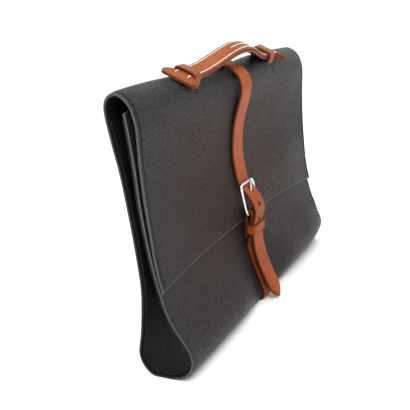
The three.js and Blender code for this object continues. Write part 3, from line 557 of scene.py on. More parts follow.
def threadFinish(name):
    # Waxed cream thread, with the turns of its twist
    finish = Finish(name, Specular_IOR_Level=0.4)
    fuzz = finish.noise(0.35)
    tone = finish.colour(finish.noise(9.0, 2.0).between(0.3, 0.7), "e2c6ae", "f3e2cf")
    finish.bump(fuzz, 0.5, 0.05)
    return finish.set(Base_Color=tone, Roughness=0.5 + 0.2 * fuzz)


caseMaterial = caseLeather("caseLeather", caseLook)
gussetMaterial = gussetLeather("gussetLeather", gussetLook)
tanMaterial = tanLeather("tanLeather", tanLook)
handleMaterial = tanLeather("handleLeather", handleLook)
metalMaterial = polishedMetal("silverPlate")
threadMaterial = threadFinish("creamThread")
print("materials made")


# The wrap: front panel, base, back, roll and flap in one

wrap = {
    "wall": 3.2, "flapSlack": 7.0, "crownRise": 3.5, "cornerPuff": 4.0, "strapDent": 35.0,
    "strapWidth": 25.0, "strapWall": 3.2, "pinchLow": 0.1, "pinchBand": 0.26, "pinchPower": 2.4,
    "ridgeLow": 0.82, "ridgeBand": 0.14, "bulgeTop": 0.14, "bulgeBand": 0.12, "cornerHeight": 0.04,
    "cornerBand": 0.045, "cornerOut": 0.75, "cornerDown": 0.65, "rim": 1.1, "rowSteps": 6,
    "columnStep": 3.2, "fineColumn": 0.6, "waviness": 0.35, "waveSize": 70.0, "waveSeed": 4,
    "calmStart": 12.0, "calmBand": 14.0, "fade": 10.0, "floorBand": 20.0, "creaseFade": 7.0,
    "grooveInset": 4.2, "grooveDepth": 0.55, "grooveWidth": 0.8, "grooveColumn": 0.5,
    "fineColumns": 12, "grooveColumns": 4, "leastColumn": 0.45,
}
strapBed = (wrap["strapWidth"] / 2 + 2) / halfWidth
loopMarks = (-88.0, 91.0)  # where the wrap's columns stand closer, beside the loops

# The flap from the roll to its free edge: height and place from back to front at the ends and
# in the middle, and its slack over the panel, as shares
flapRows = np.array([  # endZ, midZ, endY, midY, endSlack, midSlack
    (0.932, 0.932, -0.533, -0.730, 0.82, 1.43),
    (0.880, 0.883, -0.575, -0.714, 0.93, 1.26),
    (0.765, 0.765, -0.460, -0.360, 0.49, 0.39),
    (0.640, 0.640, -0.381, -0.152, 0.41, 0.06),
    (0.500, 0.500, -0.343, -0.222, 0.22, 0.05),
    (0.420, 0.430, -0.346, -0.265, 0.08, 0.04),
    (0.338, 0.367, -0.403, -0.300, 0.02, 0.02),
])
outerRows = np.array([  # endY, endZ, midY, midZ: from the front panel round the base to the roll
    (-0.410, 0.258, -0.222, 0.267), (-0.590, 0.208, -0.310, 0.206), (-0.810, 0.164, -0.415, 0.155),
    (-0.978, 0.126, -0.525, 0.108), (-1.013, 0.092, -0.610, 0.072), (-0.873, 0.057, -0.660, 0.038),
    (-0.571, 0.022, -0.560, 0.013), (-0.127, 0.002, -0.100, -0.004), (0.413, -0.004, 0.340, -0.004),
    (0.778, 0.015, 0.600, 0.020), (0.984, 0.050, 0.740, 0.048), (1.010, 0.089, 0.760, 0.085),
    (0.907, 0.128, 0.690, 0.128), (0.778, 0.171, 0.590, 0.171), (0.592, 0.261, 0.470, 0.260),
    (0.422, 0.376, 0.390, 0.377), (0.371, 0.552, 0.365, 0.552), (0.375, 0.730, 0.365, 0.730),
    (0.441, 0.840, 0.429, 0.840), (0.495, 0.918, 0.476, 0.918), (0.463, 0.963, 0.444, 0.963),
    (0.286, 0.991, 0.254, 0.991), (0.000, 1.000, -0.060, 1.000), (-0.263, 0.986, -0.350, 0.984),
    (-0.454, 0.959, -0.590, 0.963),
])
widthRows = np.array([  # share of the half width, ridge, corner, flap, bulge
    (-1.00, 0.35, 0.20, 1.00, 1.00),
    (-0.96, 0.95, 0.90, 1.00, 1.00),
    (-0.70, 1.10, 0.90, 1.00, 1.00),
    (-0.46, 0.80, 0.70, 1.00, 1.00),
    (-0.16, 0.65, 0.45, 1.00, 1.00),
    (0.16, 0.50, 0.25, 1.00, 1.00),
    (0.46, 0.55, 0.05, 1.02, 1.00),
    (0.74, 0.15, 0.00, 1.07, 0.98),
    (0.92, -0.10, -0.15, 1.12, 0.88),
    (1.00, -0.20, -0.25, 1.14, 0.78),
])
flapCount = len(flapRows)
baseRow = 7  # the row of outerRows on the floor, counted from 0
rowSteps = wrap["rowSteps"]
tableSteps = 8  # points between the rows of the other tables


def alongWidth(u):  # ridge, corner, flap and bulge at shares of the half width, eased between the rows
    fine = throughRows(widthRows, 12)
    return [np.interp(u, fine[:, 0], fine[:, k]) for k in range(1, 5)]


def outerPaths(u):
    # The outside in the Y-Z plane at shares u of the half width, as an array (stations, points, 2):
    # each row's place at the ends is blended to its place in the middle by how far it is pinched
    w = wrap
    u = np.asarray(u, float)[:, None]
    ridge, corner, flapDeep, bulge = alongWidth(u)
    out = np.maximum(np.abs(u) - strapBed, 0.0)
    free = 1 - np.exp(-(out * halfWidth / w["strapDent"]) ** 2)

    def pinched(endZ, midZ):  # how far each row is drawn in, and its height
        wide = 1 - np.minimum(out / (1 - strapBed), 1.0) ** w["pinchPower"]
        t = blend(1 - free, wide, ease((endZ - w["pinchLow"]) / w["pinchBand"]))
        return t, blend(endZ, midZ, t)

    def crown(h):  # the ridge's rise at a height
        return w["crownRise"] * ridge * free * ease((h - w["ridgeLow"]) / w["ridgeBand"])

    def frontDepth(h):  # how full the front is at a height: the bulge below, the flap above
        return blend(bulge, flapDeep, ease((h - w["bulgeTop"]) / w["bulgeBand"]))

    endZ, midZ, endY, midY, endSlack, midSlack = (flapRows[:, k][None] for k in range(6))
    t, h = pinched(endZ, midZ)
    flapY = blend(endY, midY, t) * halfDepth * frontDepth(h)
    flapZ = h * caseHeight + crown(h)
    slack = clearance + blend(endSlack, midSlack, t) * w["flapSlack"]
    panel = np.stack([flapY + w["wall"] + slack, flapZ], -1)
    flap = np.stack([flapY, flapZ], -1)
    endY, endZ, midY, midZ = (outerRows[:, k][None] for k in range(4))
    t, h = pinched(endZ, midZ)
    y = blend(endY, midY, t)
    near = np.exp(-((h - w["cornerHeight"]) / w["cornerBand"]) ** 2)
    push = np.where(y < 0, w["cornerPuff"] * corner * free * near * np.minimum(-2 * y, 1.0), 0.0)
    deep = np.where(y < 0, frontDepth(h), 1.0)
    z = h * caseHeight + crown(h) - push * w["cornerDown"]
    rest = np.stack([y * halfDepth * deep - push * w["cornerOut"], z], -1)
    path = throughRows(np.concatenate([panel, rest, flap], 1), rowSteps)
    away = np.clip((np.abs(u) - strapBed) * halfWidth / w["strapDent"], 0.0, 1.0)
    lift = (w["strapWall"] + clearance) * (1 - ease(away))
    path[..., 1] = np.maximum(path[..., 1], lift)
    return path


def wrapColumns(w):  # places along X, closer beside the loops and at the creased lines
    plain = np.linspace(-1, 1, int(round(2 * halfWidth / w["columnStep"])) + 1) * (halfWidth - w["rim"])
    few, more = w["grooveColumns"], w["fineColumns"]
    beside = [centre + np.arange(-more, more + 1) * w["fineColumn"] for centre in loopMarks]
    grooveX = halfWidth - w["grooveInset"]
    seams = [side * grooveX + np.arange(-few, few + 1) * w["grooveColumn"] for side in (-1, 1)]
    merged = np.unique(np.round(np.concatenate([plain, *beside, *seams]), 3))
    keep = np.concatenate([[True], np.diff(merged) > w["leastColumn"]])
    return merged[keep]


def creaseDepth(x, y, z):  # how deep the creases below the loops are pressed in
    total = np.zeros_like(x)
    for centre, low, wide, deep in slitCreases:
        over = ease((z - low) / wrap["creaseFade"]) * (y < 0)
        total = total + deep * np.exp(-((x - centre) / wide) ** 2) * over
    return total


def makeWrap(w):
    # The section at every column, set in by half the wall, with slow waves, the creases below the
    # loops and the pressed lines added along its normals
    x = wrapColumns(w)
    paths = outerPaths(x / halfWidth)
    facing = rightNormals(paths)
    inset = paths - facing * (w["wall"] / 2)
    grid = np.concatenate([np.broadcast_to(x[:, None, None], inset.shape[:2] + (1,)), inset], -1)
    grid = grid.transpose(1, 0, 2)
    length = lengthAlong(grid[:, len(x) // 2])
    normal = gridNormals(grid)
    sign = np.sign(np.einsum("ijk,ijk->ij", normal[..., 1:], facing.transpose(1, 0, 2)))
    normal = normal * sign[..., None]
    across = np.repeat(x[None], len(length), 0)
    down = np.repeat(length[:, None], len(x), 1)
    wave = softNoise(across, down, w["waveSize"], w["waveSeed"]) * w["waviness"]
    calm = 1 - np.exp(-((np.abs(across) - w["calmStart"]) / w["calmBand"]) ** 2)
    visible = ((length - length[flapCount * rowSteps]) / w["fade"])[:, None]
    high = grid[..., 2]
    low = ease((high - w["calmStart"]) / w["floorBand"])
    grid = grid + normal * (wave * calm * np.clip(visible, 0, 1) * low)[..., None]
    grid = grid - normal * creaseDepth(across, grid[..., 1], high)[..., None]
    inset = halfWidth - np.abs(across) - w["grooveInset"]
    groove = w["grooveDepth"] * np.exp(-(inset / w["grooveWidth"]) ** 2) * ease(visible)
    grid = grid - normal * groove[..., None]
    half = np.full(len(length), halfWidth)
    shape = leatherShell(grid, normal, w["wall"], across, length - length[-1], half, w["rim"])
    return makePiece("caseWrap", shape, caseMaterial, "body_wrap")


wrapPiece = makeWrap(wrap)
print("wrap made")


# The gussets: end panels folded inwards

gusset = {
    "wall": 2.2, "fold": 22.0, "recess": 1.5, "footRise": 14.0, "seam": 0.5, "rows": 110, "columns": 56,
    "rim": 0.7, "creaseSize": 26.0, "creaseDepth": 0.5, "creaseSeed": 11, "creaseStretch": 2.2,
    "half": 20.0, "reach": 30.0, "stations": 7, "turnFrom": 0.9,
}
gussetRows = np.array([  # height share, fold share, squareness
    (0.922, 1.00, 1.5), (0.860, 1.00, 1.5), (0.780, 0.98, 1.5), (0.690, 0.95, 1.5), (0.600, 0.92, 1.5),
    (0.500, 0.86, 1.6), (0.420, 0.77, 1.7), (0.350, 0.64, 1.8), (0.290, 0.52, 2.0), (0.240, 0.42, 2.2),
    (0.190, 0.32, 2.6), (0.150, 0.26, 3.0), (0.115, 0.22, 3.2), (0.085, 0.20, 3.5), (0.060, 0.18, 3.5),
    (0.040, 0.17, 3.5), (0.025, 0.16, 3.5), (0.0142, 0.15, 3.5),
])
ridgePoints = 20  # the path's last points before the flap, which the gusset stays below


def innerFaces(side, z):
    # The wrap's inner faces at heights z near one end: places along X, front and back
    x = np.linspace(halfWidth - gusset["reach"], halfWidth, gusset["stations"]) * side
    paths = outerPaths(x / halfWidth)
    inner = paths - rightNormals(paths) * wrap["wall"]
    base, top = (flapCount + baseRow) * rowSteps, -flapCount * rowSteps - ridgePoints
    front = np.stack([np.interp(z, line[base::-1, 1], line[base::-1, 0]) for line in inner])
    back = np.stack([np.interp(z, line[base + 1:top, 1], line[base + 1:top, 0]) for line in inner])
    return x, front, back


def makeGusset(side, name, node, g):
    # A grid between the wrap's inner faces, t from -1 to 1: its fold times 1 - |t|^squareness goes inwards
    table = throughRows(gussetRows, tableSteps)[::-1]
    z = np.linspace(table[0, 0], table[-1, 0] - 0.002, g["rows"]) * caseHeight
    fold = np.interp(z / caseHeight, table[:, 0], table[:, 1]) * ease((z - z[0]) / g["footRise"])
    square = np.interp(z / caseHeight, table[:, 0], table[:, 2])
    t = np.sin(math.pi / 2 * np.linspace(-1, 1, g["columns"]))[None]
    inwards = (fold * g["fold"])[:, None] * (1 - np.abs(t) ** square[:, None])
    x = side * (halfWidth - g["recess"] - g["rim"] - inwards)
    places, *faces = innerFaces(side, z)
    order = np.argsort(places)
    frontAt, backAt = (np.stack([np.interp(x[i], places[order], face[order, i]) for i in range(len(z))])
                       for face in faces)
    half = (backAt - frontAt) / 2 - g["wall"] / 2 - g["seam"]
    y = (backAt + frontAt) / 2 + t * half
    high = np.repeat(z[:, None], y.shape[1], 1)
    crease = softNoise(y * g["creaseStretch"], high, g["creaseSize"], g["creaseSeed"] + side)
    x = x + crease * g["creaseDepth"] * (1 - np.abs(t) ** 6) * side
    grid = np.stack([x, y, high], -1)
    normal = turnedTo(gridNormals(grid), (side, 0.0, 0.0))
    wall = np.array([0.0, 1.0, 0.0]) * -np.sign(t)[..., None]
    close = np.clip((np.abs(t) - g["turnFrom"]) / (1 - g["turnFrom"]), 0, 1)[..., None]
    normal = unit(normal * (1 - close) + wall * close)
    across = np.repeat(t * g["half"], len(z), 0)
    shape = leatherShell(grid, normal, g["wall"], across, z, np.full(len(z), g["half"]), g["rim"])
    makePiece(name, shape, gussetMaterial, node)


makeGusset(-1, "gussetLeft", "gusset_left", gusset)
makeGusset(1, "gussetRight", "gusset_right", gusset)
print("gussets made")


# The strap round the case, its buckle and its keeper

strap = {
    "width": wrap["strapWidth"], "wall": wrap["strapWall"], "standOff": 4.0, "tailLength": 81.0,
    "tailFlare": 18.0, "tipLength": 15.0, "tipPoints": 26, "tipRound": 1.6, "tipTaper": 0.72,
    "tipLeast": 0.25, "holePitch": 18.0, "holeDiameter": 4.2, "holeLength": 5.0, "rim": 0.9,
    "crown": 0.15, "columns": 16, "step": 1.5, "smoothing": 1.4, "turnPoints": 13, "footBlend": 8.0,
    "topBlend": 6.0, "tailFrom": 0.6,
}
buckle = {
    "bar": 3.5, "height": 36.4, "heelHeight": 109.2, "sideGap": 1.0, "heelStandOff": 2.4, "topBarLift": 1.0,
    "tongue": 2.6, "overhang": 3.5, "cornerRadius": 4.6, "arch": 1.3, "lean": 6.5, "holeShare": 0.72,
    "tonguePlay": 0.7, "slotLength": 14.0, "cornerPoints": 12, "frameSides": 24, "archOut": 0.8,
    "archUp": 0.4, "archFrom": 0.7, "heelFrom": 0.1, "heelBand": 0.15, "slimmer": 0.1, "fuller": 0.25,
    "tongueSides": 20, "tongueStep": 0.6, "tongueSmoothing": 0.8, "leanOut": 0.4, "taper": 0.18,
    "hookEnd": 0.02, "tipEnd": 0.035, "tongueWide": 1.1, "tongueHigh": 0.95,
}
keeper = {
    "wall": 2.0, "width": 12.0, "drop": 16.7, "chapeLength": 29.0, "rim": 0.6, "cornerRadius": 2.2,
    "cornerPoints": 9, "play": 1.0,
}
band = {"columns": 9, "step": 0.8}  # points across and along the keeper, the loops and the frame
pinShape = {"reference": (1.0, 0.17, 0.09), "sides": 22}  # its reference lies along no pin
bendRows = np.array([  # height share, share of the stand-off from the flap
    (0.740, 0.0), (0.800, 0.20), (0.860, 0.55), (0.905, 0.90), (0.944, 1.0), (0.985, 0.60), (1.010, 0.10),
])
tailRows = np.array([  # share of the tail's length, share of its flare
    (0.18, -0.03), (0.34, 0.05), (0.50, 0.20), (0.66, 0.42), (0.83, 0.70), (1.00, 0.98),
])
bellyRows = np.array([  # share of the frame's height, share of the way out over the heel
    (0.74, 0.46), (0.56, 0.74), (0.38, 0.96), (0.20, 1.08), (0.02, 1.07), (-0.16, 0.88),
])

middle = outerPaths([strapBed])[0]
baseIndex, flapStart = (flapCount + baseRow) * rowSteps, len(middle) - flapCount * rowSteps
barRadius = buckle["bar"] / 2
tongueRadius = buckle["tongue"] / 2
halfStrap = strap["wall"] / 2
foldRadius = barRadius + clearance + halfStrap


def placeAt(line, z):  # where a falling line passes a height
    return float(np.interp(z, line[::-1, 1], line[::-1, 0]))


def barPlace(height, lift):  # a bar's centre at a height, so far out from the strap on the flap
    front = placeAt(middle[flapStart:], height)
    return np.array([front - 2 * clearance - strap["wall"] - lift - barRadius, height])


heelZ = buckle["heelHeight"]
topZ = heelZ + buckle["height"]
heelBar = barPlace(heelZ, buckle["heelStandOff"])
topBar = barPlace(topZ, buckle["topBarLift"])
chapeTop = heelBar + np.array([foldRadius, 0.0])
footZ = heelZ - keeper["chapeLength"]
chapeFoot = np.array([placeAt(middle[:baseIndex + 1], footZ) - clearance - halfStrap, footZ])
stackDown = unit(chapeFoot - chapeTop)
stackOut = np.array([stackDown[1], -stackDown[0]])
mainOut = strap["wall"] + 2 * clearance + keeper["wall"]
tailOut = mainOut + strap["wall"] + clearance


def stackPoint(height, out):  # height along the stack of straps and distance out from the turned end
    return chapeTop + stackDown * (chapeTop[1] - height) / -stackDown[1] + stackOut * out


def strapLine():
    # The strap's middle line: turned end, heel bar, down, under the base, up the back, over the
    # ridge, down, through the buckle and the keeper to the free end
    turn = np.linspace(0, math.pi, strap["turnPoints"])[:, None]
    fold = heelBar + foldRadius * np.concatenate([np.cos(turn), np.sin(turn)], 1)
    keeperZ, keeperHalf = heelZ - keeper["drop"], keeper["width"] / 2 + keeper["play"]
    keeperTop, keeperFoot = keeperZ + keeperHalf, keeperZ - keeperHalf
    index = np.arange(len(middle))
    off = np.interp(middle[:, 1] / caseHeight, bendRows[:, 0], bendRows[:, 1], left=0.0, right=0.0)
    off = np.where((index > baseIndex) & (middle[:, 0] < 0), off * strap["standOff"], 0.0)
    around = middle + rightNormals(middle) * (clearance + halfStrap + off)[:, None]
    low = around[flapCount * rowSteps:baseIndex + 1]
    low = low[low[:, 1] < footZ - strap["footBlend"]]
    high = around[flapStart:]
    high = high[high[:, 1] > topZ + strap["topBlend"]]
    corner = (foldRadius + clearance) * math.sqrt(0.5)
    behind = topBar + np.array([foldRadius, 0.0])
    under = topBar + np.array([corner, -corner])
    heelOut = heelBar[0] - foldRadius - strap["wall"] - clearance
    bellyY = blend(behind[0], heelOut, bellyRows[:, 1])
    belly = np.stack([bellyY, heelZ + bellyRows[:, 0] * buckle["height"]], 1)
    window = np.concatenate([[behind, under], belly, [stackPoint(keeperTop, tailOut)]])
    tailTop = stackPoint(keeperFoot, tailOut)
    tail = tailTop - tailRows[:, ::-1] * np.array([strap["tailFlare"], strap["tailLength"]])
    window, tail = (throughRows(rows, tableSteps) for rows in (window, np.concatenate([[tailTop], tail])))
    stack = np.array([stackPoint(keeperTop, mainOut), stackPoint(keeperFoot, mainOut)])
    back = around[baseIndex + 1:flapStart]
    return np.concatenate([[chapeFoot], fold, stack, low, back, high, window, tail])


def ribbon(line, half, values):
    # A flat line in the Y-Z plane given a width along X, slightly crowned in the middle
    facing = rightNormals(line)
    v = np.linspace(-1, 1, values["columns"])
    x = v[None] * (half - values["rim"])[:, None]
    grid = np.zeros((*x.shape, 3))
    grid[..., 0] = x
    grid[..., 1:] = line[:, None] + facing[:, None] * (values["crown"] * (1 - v ** 2))[None, :, None]
    normal = np.zeros_like(grid)
    normal[..., 1:] = facing[:, None]
    return leatherShell(grid, normal, values["wall"], x, lengthAlong(line), half, values["rim"])


def pin(centre, direction, radius, length):  # a closed round pin about a place in the Y-Z plane
    direction = unit(np.array([0.0, *direction]))
    path = np.array([0.0, *centre]) + direction * np.linspace(-length / 2, length / 2, 3)[:, None]
    return roundBar(path, pinShape["reference"], (radius, radius), pinShape["sides"])


def tongueSlot(half, count=24):
    # What is cut from the turned end so that the tongue can hook round the heel bar: most of a
    # disc about the bar, as wide as the tongue and its play
    reach = foldRadius + halfStrap + clearance
    low = barRadius + buckle["tongue"] + 2 * clearance
    start = -math.asin(low / reach)
    angles = np.linspace(start, math.pi - start, count)
    flat = heelBar + reach * np.stack([np.cos(angles), np.sin(angles)], 1)
    points = np.concatenate([np.column_stack([np.full(count, side), flat]) for side in (-half, half)])
    k = np.arange(count)
    after = (k + 1) % count
    walls = np.stack([k, after, after + count, k + count], 1)
    return points, outwards(points, [walls, k[None, ::-1], k[None] + count])


def tongueLine():  # the tongue's middle line, from its hook round the heel bar to its tip on the top bar
    hook = barRadius + clearance + tongueRadius
    turn = arc(*heelBar, hook, 300, 60, 25)
    turn = turn[(turn[:, 1] <= heelZ + 0.01) & (turn[:, 0] < heelBar[0] + hook * 0.9)]
    front, rest = heelBar[0] - hook, topBar[0] - barRadius - clearance - tongueRadius
    arm = np.array([
        (front, heelZ + tongueRadius),
        (blend(front, rest, 0.3), heelZ + 0.4 * buckle["height"]),
        (blend(front, rest, 0.8), heelZ + 0.8 * buckle["height"]),
        (rest, topZ),
        (rest + clearance, topZ + buckle["overhang"]),
    ])
    return np.concatenate([turn, throughRows(arm, tableSteps)])


def makeStrap(values):  # the ribbon with its free end drawn to a point, less its slot and its holes
    line = evenly(strapLine(), values["step"], values["smoothing"])
    length = lengthAlong(line)
    tipStart = length[-1] - values["tipLength"]
    nearer = np.sin(np.linspace(0, math.pi / 2, values["tipPoints"]))
    places = np.concatenate([length[length < tipStart - 1], tipStart + values["tipLength"] * nearer])
    line = sample(places, length, line)
    t = np.clip((length[-1] - places) / values["tipLength"], 0, 1)
    half = values["width"] / 2 * (1 - (1 - t) ** values["tipRound"]) ** values["tipTaper"]
    half = np.maximum(half, values["rim"] + values["tipLeast"])
    shape = ribbon(line, half, values)
    piece = makePiece("wrapStrap", shape, tanMaterial, "wrap_strap")
    lower, upper, top = (tongueLine()[-1 - k * tableSteps] for k in (3, 2, 1))
    centre = blend(upper, lower, 0.2)
    cutters = [
        pin(centre, top - lower, tongueRadius + buckle["tonguePlay"], buckle["slotLength"]),
        tongueSlot(tongueRadius + 2 * clearance),
    ]
    late = np.arange(len(line)) > len(line) * values["tailFrom"]
    crossing = int(np.argmax(late & (line[:, 1] < centre[1])))
    facing = rightNormals(line)
    for pitch in (values["holePitch"], 2 * values["holePitch"]):
        k = int(np.argmin(np.abs(places - places[crossing] - pitch)))
        cutters.append(pin(line[k], facing[k], values["holeDiameter"] / 2, values["holeLength"]))
    cutAway(piece, cutters)


def roundedRing(half, low, high, radius, count):
    # A closed rounded rectangle in even steps: half wide each way, from low to high
    corners = ((half, high, -1, -1), (-half, high, 1, -1), (-half, low, 1, 1), (half, low, -1, 1))
    ring = np.concatenate([arc(x + dx * radius, y + dy * radius, radius, 90 * k, 90 * k + 90, count)
                           for k, (x, y, dx, dy) in enumerate(corners)])
    return evenly(np.concatenate([ring, ring[:1]]), band["step"])[:-1]


def bandShell(line, normal, axis, values, closed=False):
    # A leather band: its middle line, widened both ways along axis
    v = np.linspace(-1, 1, band["columns"]) * (values["width"] / 2 - values["rim"])
    grid = line[:, None] + v[None, :, None] * axis
    normals = np.repeat(normal[:, None], len(v), 1)
    across = np.repeat(v[None], len(line), 0)
    half = np.full(len(line), values["width"] / 2)
    return leatherShell(grid, normals, values["wall"], across, np.arange(len(line)) * band["step"], half,
                        values["rim"], closed)


def makeKeeper(values):  # a rounded oblong about the stack of straps, square to the stack's slope
    grow = values["wall"] / 2
    low, high = mainOut - halfStrap - clearance - grow, tailOut + halfStrap + clearance + grow
    half = strap["width"] / 2 + clearance + grow
    ring = roundedRing(half, low, high, values["cornerRadius"], values["cornerPoints"])
    centre = stackPoint(heelZ - values["drop"], 0.0)
    out3, down3, centre = (np.array([0.0, *v]) for v in (stackOut, stackDown, centre))
    line = centre + ring[:, :1] * np.array([1.0, 0, 0]) + ring[:, 1:] * out3
    inside = centre + out3 * (low + high) / 2
    normal = turnedTo(np.cross(directions(line, True), down3), line - inside)
    shape = bandShell(line, normal, down3, values, True)
    makePiece("strapKeeper", shape, tanMaterial, "strap_keeper")


def makeFrame(values):  # a rounded oblong of round bar, whose top bar bows out and up
    hx, height = strap["width"] / 2 + values["sideGap"] + barRadius, values["height"]
    flat = roundedRing(hx, 0.0, height, values["cornerRadius"], values["cornerPoints"])
    share = flat[:, 1] / height
    arch = values["arch"] * (1 - (flat[:, 0] / hx) ** 2) * ease((share - values["archFrom"]) / 0.3)
    y = blend(heelBar[0], topBar[0], share) - values["archOut"] * arch
    path = np.stack([flat[:, 0], y, heelZ + flat[:, 1] + values["archUp"] * arch], 1)
    heel = ease((share - values["heelFrom"]) / values["heelBand"])
    radii = np.stack([barRadius - values["slimmer"] * heel, barRadius + values["fuller"] * heel], 1)
    shape = roundBar(path, (0.0, 1.0, 0.12), radii, values["frameSides"], closed=True)
    makePiece("buckleFrame", shape, metalMaterial, "buckle_frame")


def makeTongue(values):  # a tapering pin, which leans to one side above its hole
    line = evenly(tongueLine(), values["tongueStep"], values["tongueSmoothing"])
    holeZ = heelZ + values["holeShare"] * values["height"]
    lift = np.clip((line[:, 1] - holeZ) / (topZ + values["overhang"] - holeZ), 0, 1)
    path = np.concatenate([values["lean"] * lift[:, None], line], 1)
    path[:, 1] -= values["leanOut"] * lift
    end = np.linspace(0, 1, len(line))
    fade = np.minimum(np.minimum(end / values["hookEnd"], (1 - end) / values["tipEnd"]), 1.0)
    radius = tongueRadius * (1 - values["taper"] * end) * np.sqrt(np.clip(1 - (1 - fade) ** 2, 0.02, 1))
    radii = radius[:, None] * np.array([values["tongueWide"], values["tongueHigh"]])
    shape = roundBar(path, (1.0, 0.0, 0.0), radii, values["tongueSides"])
    makePiece("buckleTongue", shape, metalMaterial, "buckle_tongue")


makeStrap(strap)
makeKeeper(keeper)
makeFrame(buckle)
makeTongue(buckle)
print("strap, buckle and keeper made")


# The handle and its loops

handle = {
    "width": 20.0, "layer": 2.75, "span": 178.0, "past": 26.5, "slide": 7.0, "rise": 17.4, "skew": 0.14,
    "fullness": 0.88, "lean": 29.0, "forward": 2.6, "tabWidth": 40.0, "tabLength": 14.0, "rim": 0.8,
    "stitchRow": 7.3, "stitchPitch": 3.0, "tabThinning": 0.52, "crown": 0.35, "underCrown": 0.3,
    "swell": 0.1, "rows": 120, "tipRows": 21, "tipSpacing": 0.85, "columns": 17,
}
loops = {
    "width": 12.0, "wall": 2.4, "ease": 0.8, "foot": 4.0, "depth": 0.2, "above": 0.06, "rim": 0.7,
    "arch": 1.0, "bend": 1.1, "smoothing": 0.6,
}
tabRows = np.array([  # share of the tab's length, share of its spread
    (0.0, 0.0), (0.22, 0.40), (0.42, 0.86), (0.62, 1.0), (0.78, 0.95), (0.91, 0.76), (1.0, 0.36),
])
lean = math.radians(handle["lean"])
handleAcross = np.array([-math.cos(lean), -math.sin(lean)])
handleUp = np.array([-math.sin(lean), math.cos(lean)])
upwards = np.array([0.0, *handleUp])
rollCentre = np.array([0.0, caseHeight - halfDepth * 0.5])
loopPlace = handle["span"] / 2
handleEnd = loopPlace + handle["past"]
neckTop = 2 * handle["layer"] + 2 * clearance
loopHalf = handle["width"] / 2 + loops["ease"] + loops["wall"] / 2


def reachBetween(start, end):  # how far the roll stands out along handleUp over a stretch of the width
    paths = outerPaths(np.linspace(start, end, 5) / halfWidth)
    return float(((paths - rollCentre) @ handleUp).max())


leftReach = reachBetween(handle["slide"] - handleEnd, -loopPlace + loops["width"])
rightReach = reachBetween(loopPlace - loops["width"], handle["slide"] + handleEnd)


def rollReach(x):  # a straight line through the roll's reach at the two loops
    return blend(leftReach, rightReach, (x + loopPlace) / handle["span"])


def handleBow(x):  # a raised cosine, fullest a little past the middle
    u = x / (loopPlace - loops["width"] / 2 - clearance)
    v = np.clip(u - handle["skew"] * (1 - u * u), -1, 1)
    return handle["rise"] * (0.5 + 0.5 * np.cos(math.pi * v)) ** handle["fullness"]


def tabShare(x):  # 0 where a tab begins to 1 at its end
    return (np.abs(x - handle["slide"]) - handleEnd) / handle["tabLength"] + 1


def handleHalf(x):  # half the width, from the neck's to the tab's by the shares in tabRows
    fine = throughRows(tabRows, 6)
    share = np.interp(tabShare(x), fine[:, 0], fine[:, 1])
    return blend(handle["width"], handle["tabWidth"], share) / 2


def tabThin(x):  # how much thinner each layer is pared towards the end of its tab
    return handle["tabThinning"] * ease(tabShare(x)) * handle["layer"]


def handlePlace(x, across, up):  # arrays of places on the handle, up from the line it rests on
    flat = rollCentre + np.asarray(up)[..., None] * handleUp
    flat = flat + (handle["forward"] + np.asarray(across))[..., None] * handleAcross
    return np.concatenate([np.broadcast_to(x, flat.shape[:-1])[..., None], flat], -1)


def makeHandleLayer(level, name, node, values):
    # A grid lifted along handleUp by the roll's reach, the bow and half its layer, with a low crown
    rim, layer = values["rim"], values["layer"]
    neck = handleEnd - values["tabLength"]
    inner = np.linspace(-neck, neck, values["rows"])
    tip = np.linspace(0, 1, values["tipRows"] + 1)[1:] ** values["tipSpacing"] * (values["tabLength"] - rim)
    x = np.concatenate([-neck - tip[::-1], inner, neck + tip]) + values["slide"]
    half = handleHalf(x)
    v = np.linspace(-1, 1, values["columns"])
    across = v[None] * (half - rim)[:, None]
    bow, thin = handleBow(x), tabThin(x)
    low = level * (layer + clearance) + layer / 2 - thin * (0.5 + level)
    crown = values["crown"] * (1 - v ** 2)[None] * (bow[:, None] / values["rise"])
    up = (rollReach(x) + clearance + bow + low)[:, None] + crown * (1 if level else values["underCrown"])
    grid = handlePlace(x[:, None], across, up)
    normal = turnedTo(gridNormals(grid), upwards)
    along = lengthAlong(grid[:, values["columns"] // 2])
    shape = leatherShell(grid, normal, layer + values["swell"] - thin, across, along, half, rim)
    makePiece(name, shape, handleMaterial, node)


def makeLoop(centreX, name, node, values):
    # A strip over the handle's neck, down both its sides and turned in below, where it is held
    reach = rollReach(centreX)
    top = neckTop + clearance + (values["ease"] + values["wall"]) / 2
    foot = halfDepth * values["depth"] - reach
    r = values["wall"] * values["bend"]
    upper = arc(loopHalf - r, top - r, r, 90, 0, 9)
    lower = arc(loopHalf - r, foot + r, r, 0, -90, 7)
    right = np.concatenate([upper, lower, [(loopHalf - r - values["foot"] / 2, foot)]])
    left = right[::-1] * np.array([-1.0, 1.0])
    line = evenly(np.concatenate([left, right]), band["step"], values["smoothing"])
    share = np.clip(line[:, 1] / top, 0, 1)
    line[:, 1] += values["arch"] * (1 - np.clip(np.abs(line[:, 0]) / loopHalf, 0, 1) ** 2) * share
    ahead = line - rightNormals(line)
    line, ahead = (handlePlace(np.full(len(p), centreX), p[:, 0], reach + p[:, 1]) for p in (line, ahead))
    normal = unit(ahead - line)
    middleUp = handlePlace(np.array([centreX]), np.array([0.0]), np.array([reach]))
    if np.einsum("ij,ij->", normal, line - middleUp) < 0:
        normal = -normal
    shape = bandShell(line, normal, np.array([1.0, 0.0, 0.0]), values)
    makePiece(name, shape, handleMaterial, node)


